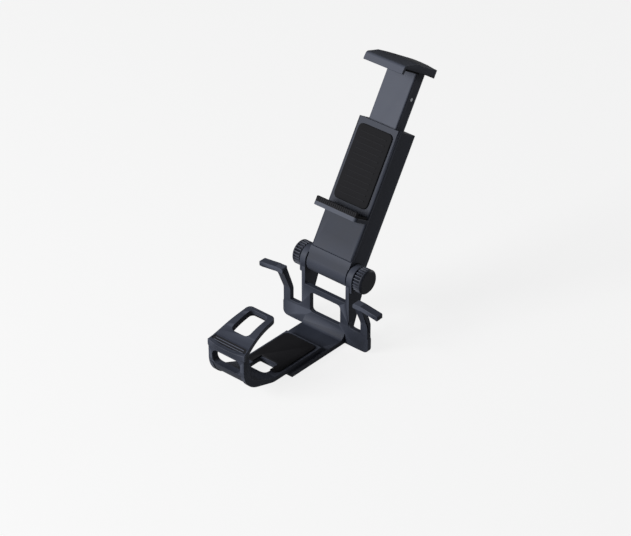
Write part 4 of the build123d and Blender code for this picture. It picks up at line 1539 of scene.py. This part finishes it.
@dataclass
class Studio:
    """A pale floor, soft lamps and a dim world."""

    floor_z: float = -6.25 * MM
    floor_size: float = 12.0
    floor_colour: str = "#f4f4f4"
    bounce_colour: str = "#5c5c5c"
    glow_share: float = 0.88
    glow_strength: float = 1.05
    gloss_share: float = 0.4
    world_strength: float = 0.11

    # Each lamp's name, place in metres, side in metres and power in watts.
    LAMPS = (
        ("key", (-0.52, -1.05, 0.66), 0.6, 25.0),
        ("back", (0.45, 1.25, 0.12), 0.4, 5.0),
    )

    def build(self) -> None:
        """Build floor, lamps and world."""
        self.floor()
        for name, place, size, watts in self.LAMPS:
            self.lamp(name, place, size, watts)
        self.world()

    def pale_rays(self, tree: bpy.types.NodeTree) -> bpy.types.NodeSocket:
        """Tell the rays that see the background from those that carry its light.

        Args:
            tree: The node tree that the nodes go into.

        Returns:
            An output that is 1 for camera and transmitted rays, and less for glossy ones.
        """
        light = add_node(tree, "ShaderNodeLightPath")
        seen = add_node(
            tree,
            "ShaderNodeMath",
            {"operation": "MULTIPLY_ADD", "use_clamp": True},
            {
                0: light.outputs["Is Glossy Ray"],
                1: self.gloss_share,
                2: light.outputs["Is Camera Ray"],
            },
        )
        both = add_node(
            tree,
            "ShaderNodeMath",
            {"operation": "MAXIMUM"},
            {0: seen.outputs[0], 1: light.outputs["Is Transmission Ray"]},
        )
        return both.outputs[0]

    def floor(self) -> bpy.types.Object:
        """Build the floor.

        Returns:
            The floor object.
        """
        half = self.floor_size / 2
        corners = [(-half, -half), (half, -half), (half, half), (-half, half)]
        mesh = bpy.data.meshes.new("floor")
        mesh.from_pydata([(x, y, self.floor_z) for x, y in corners], [], [(0, 1, 2, 3)])
        floor = linked_object("floor", mesh)
        paint = bpy.data.materials.new("studio_floor")
        tree = emptied(paint)
        pale = self.pale_rays(tree)
        colour = add_node(
            tree,
            "ShaderNodeMix",
            {"data_type": "RGBA"},
            {0: pale, 6: linear(self.bounce_colour), 7: linear(self.floor_colour)},
        )
        matt = add_node(tree, "ShaderNodeBsdfDiffuse", inputs={"Color": colour.outputs[2]})
        glow = add_node(
            tree,
            "ShaderNodeEmission",
            inputs={"Color": linear(self.floor_colour), "Strength": self.glow_strength},
        )
        share = add_node(
            tree, "ShaderNodeMath", {"operation": "MULTIPLY"}, {0: pale, 1: self.glow_share}
        )
        both = add_node(
            tree,
            "ShaderNodeMixShader",
            inputs={0: share.outputs[0], 1: matt.outputs[0], 2: glow.outputs[0]},
        )
        add_node(tree, "ShaderNodeOutputMaterial", inputs={"Surface": both.outputs[0]})
        mesh.materials.append(paint)
        return floor

    def lamp(
        self, name: str, place: tuple[float, float, float], size: float, watts: float
    ) -> bpy.types.Object:
        """Build one soft square lamp that faces the clip.

        Args:
            name: The lamp's name.
            place: Where it stands, in metres.
            size: Its side, in metres.
            watts: Its power.

        Returns:
            The lamp object.
        """
        light = bpy.data.lights.new(name, "AREA")
        light.shape = "SQUARE"
        light.size = size
        light.energy = watts
        lamp = bpy.data.objects.new(name, light)
        bpy.context.scene.collection.objects.link(lamp)
        lamp.location = place
        aim = HINGE - Vector(place)
        lamp.rotation_mode = "QUATERNION"
        lamp.rotation_quaternion = aim.to_track_quat("-Z", "Y")
        return lamp

    def world(self) -> None:
        """Build the world: pale where it is seen, dim as a light."""
        world = bpy.data.worlds.new("studio_world")
        tree = emptied(world)
        light = add_node(tree, "ShaderNodeLightPath")
        strength = add_node(
            tree,
            "ShaderNodeMapRange",
            inputs={
                "Value": light.outputs["Is Camera Ray"],
                "To Min": self.world_strength,
                "To Max": 1.0,
            },
        )
        glow = add_node(
            tree,
            "ShaderNodeBackground",
            inputs={"Color": linear(self.floor_colour), "Strength": strength.outputs[0]},
        )
        add_node(tree, "ShaderNodeOutputWorld", inputs={"Surface": glow.outputs[0]})
        bpy.context.scene.world = world


def main() -> None:
    """Build the clip's looks, the view and the studio."""
    logging.basicConfig(level=logging.INFO, format="%(message)s")
    finishes = Finishes()
    for assembly in (Bracket(), Knobs(), Clamp(), SlidingJaw(), PullSprings()):
        assembly.build(finishes)
    dress_small_parts(finishes)
    PictureView().build()
    Studio().build()
    bpy.context.scene.view_settings.view_transform = "Standard"


if __name__ == "__main__":
    main()
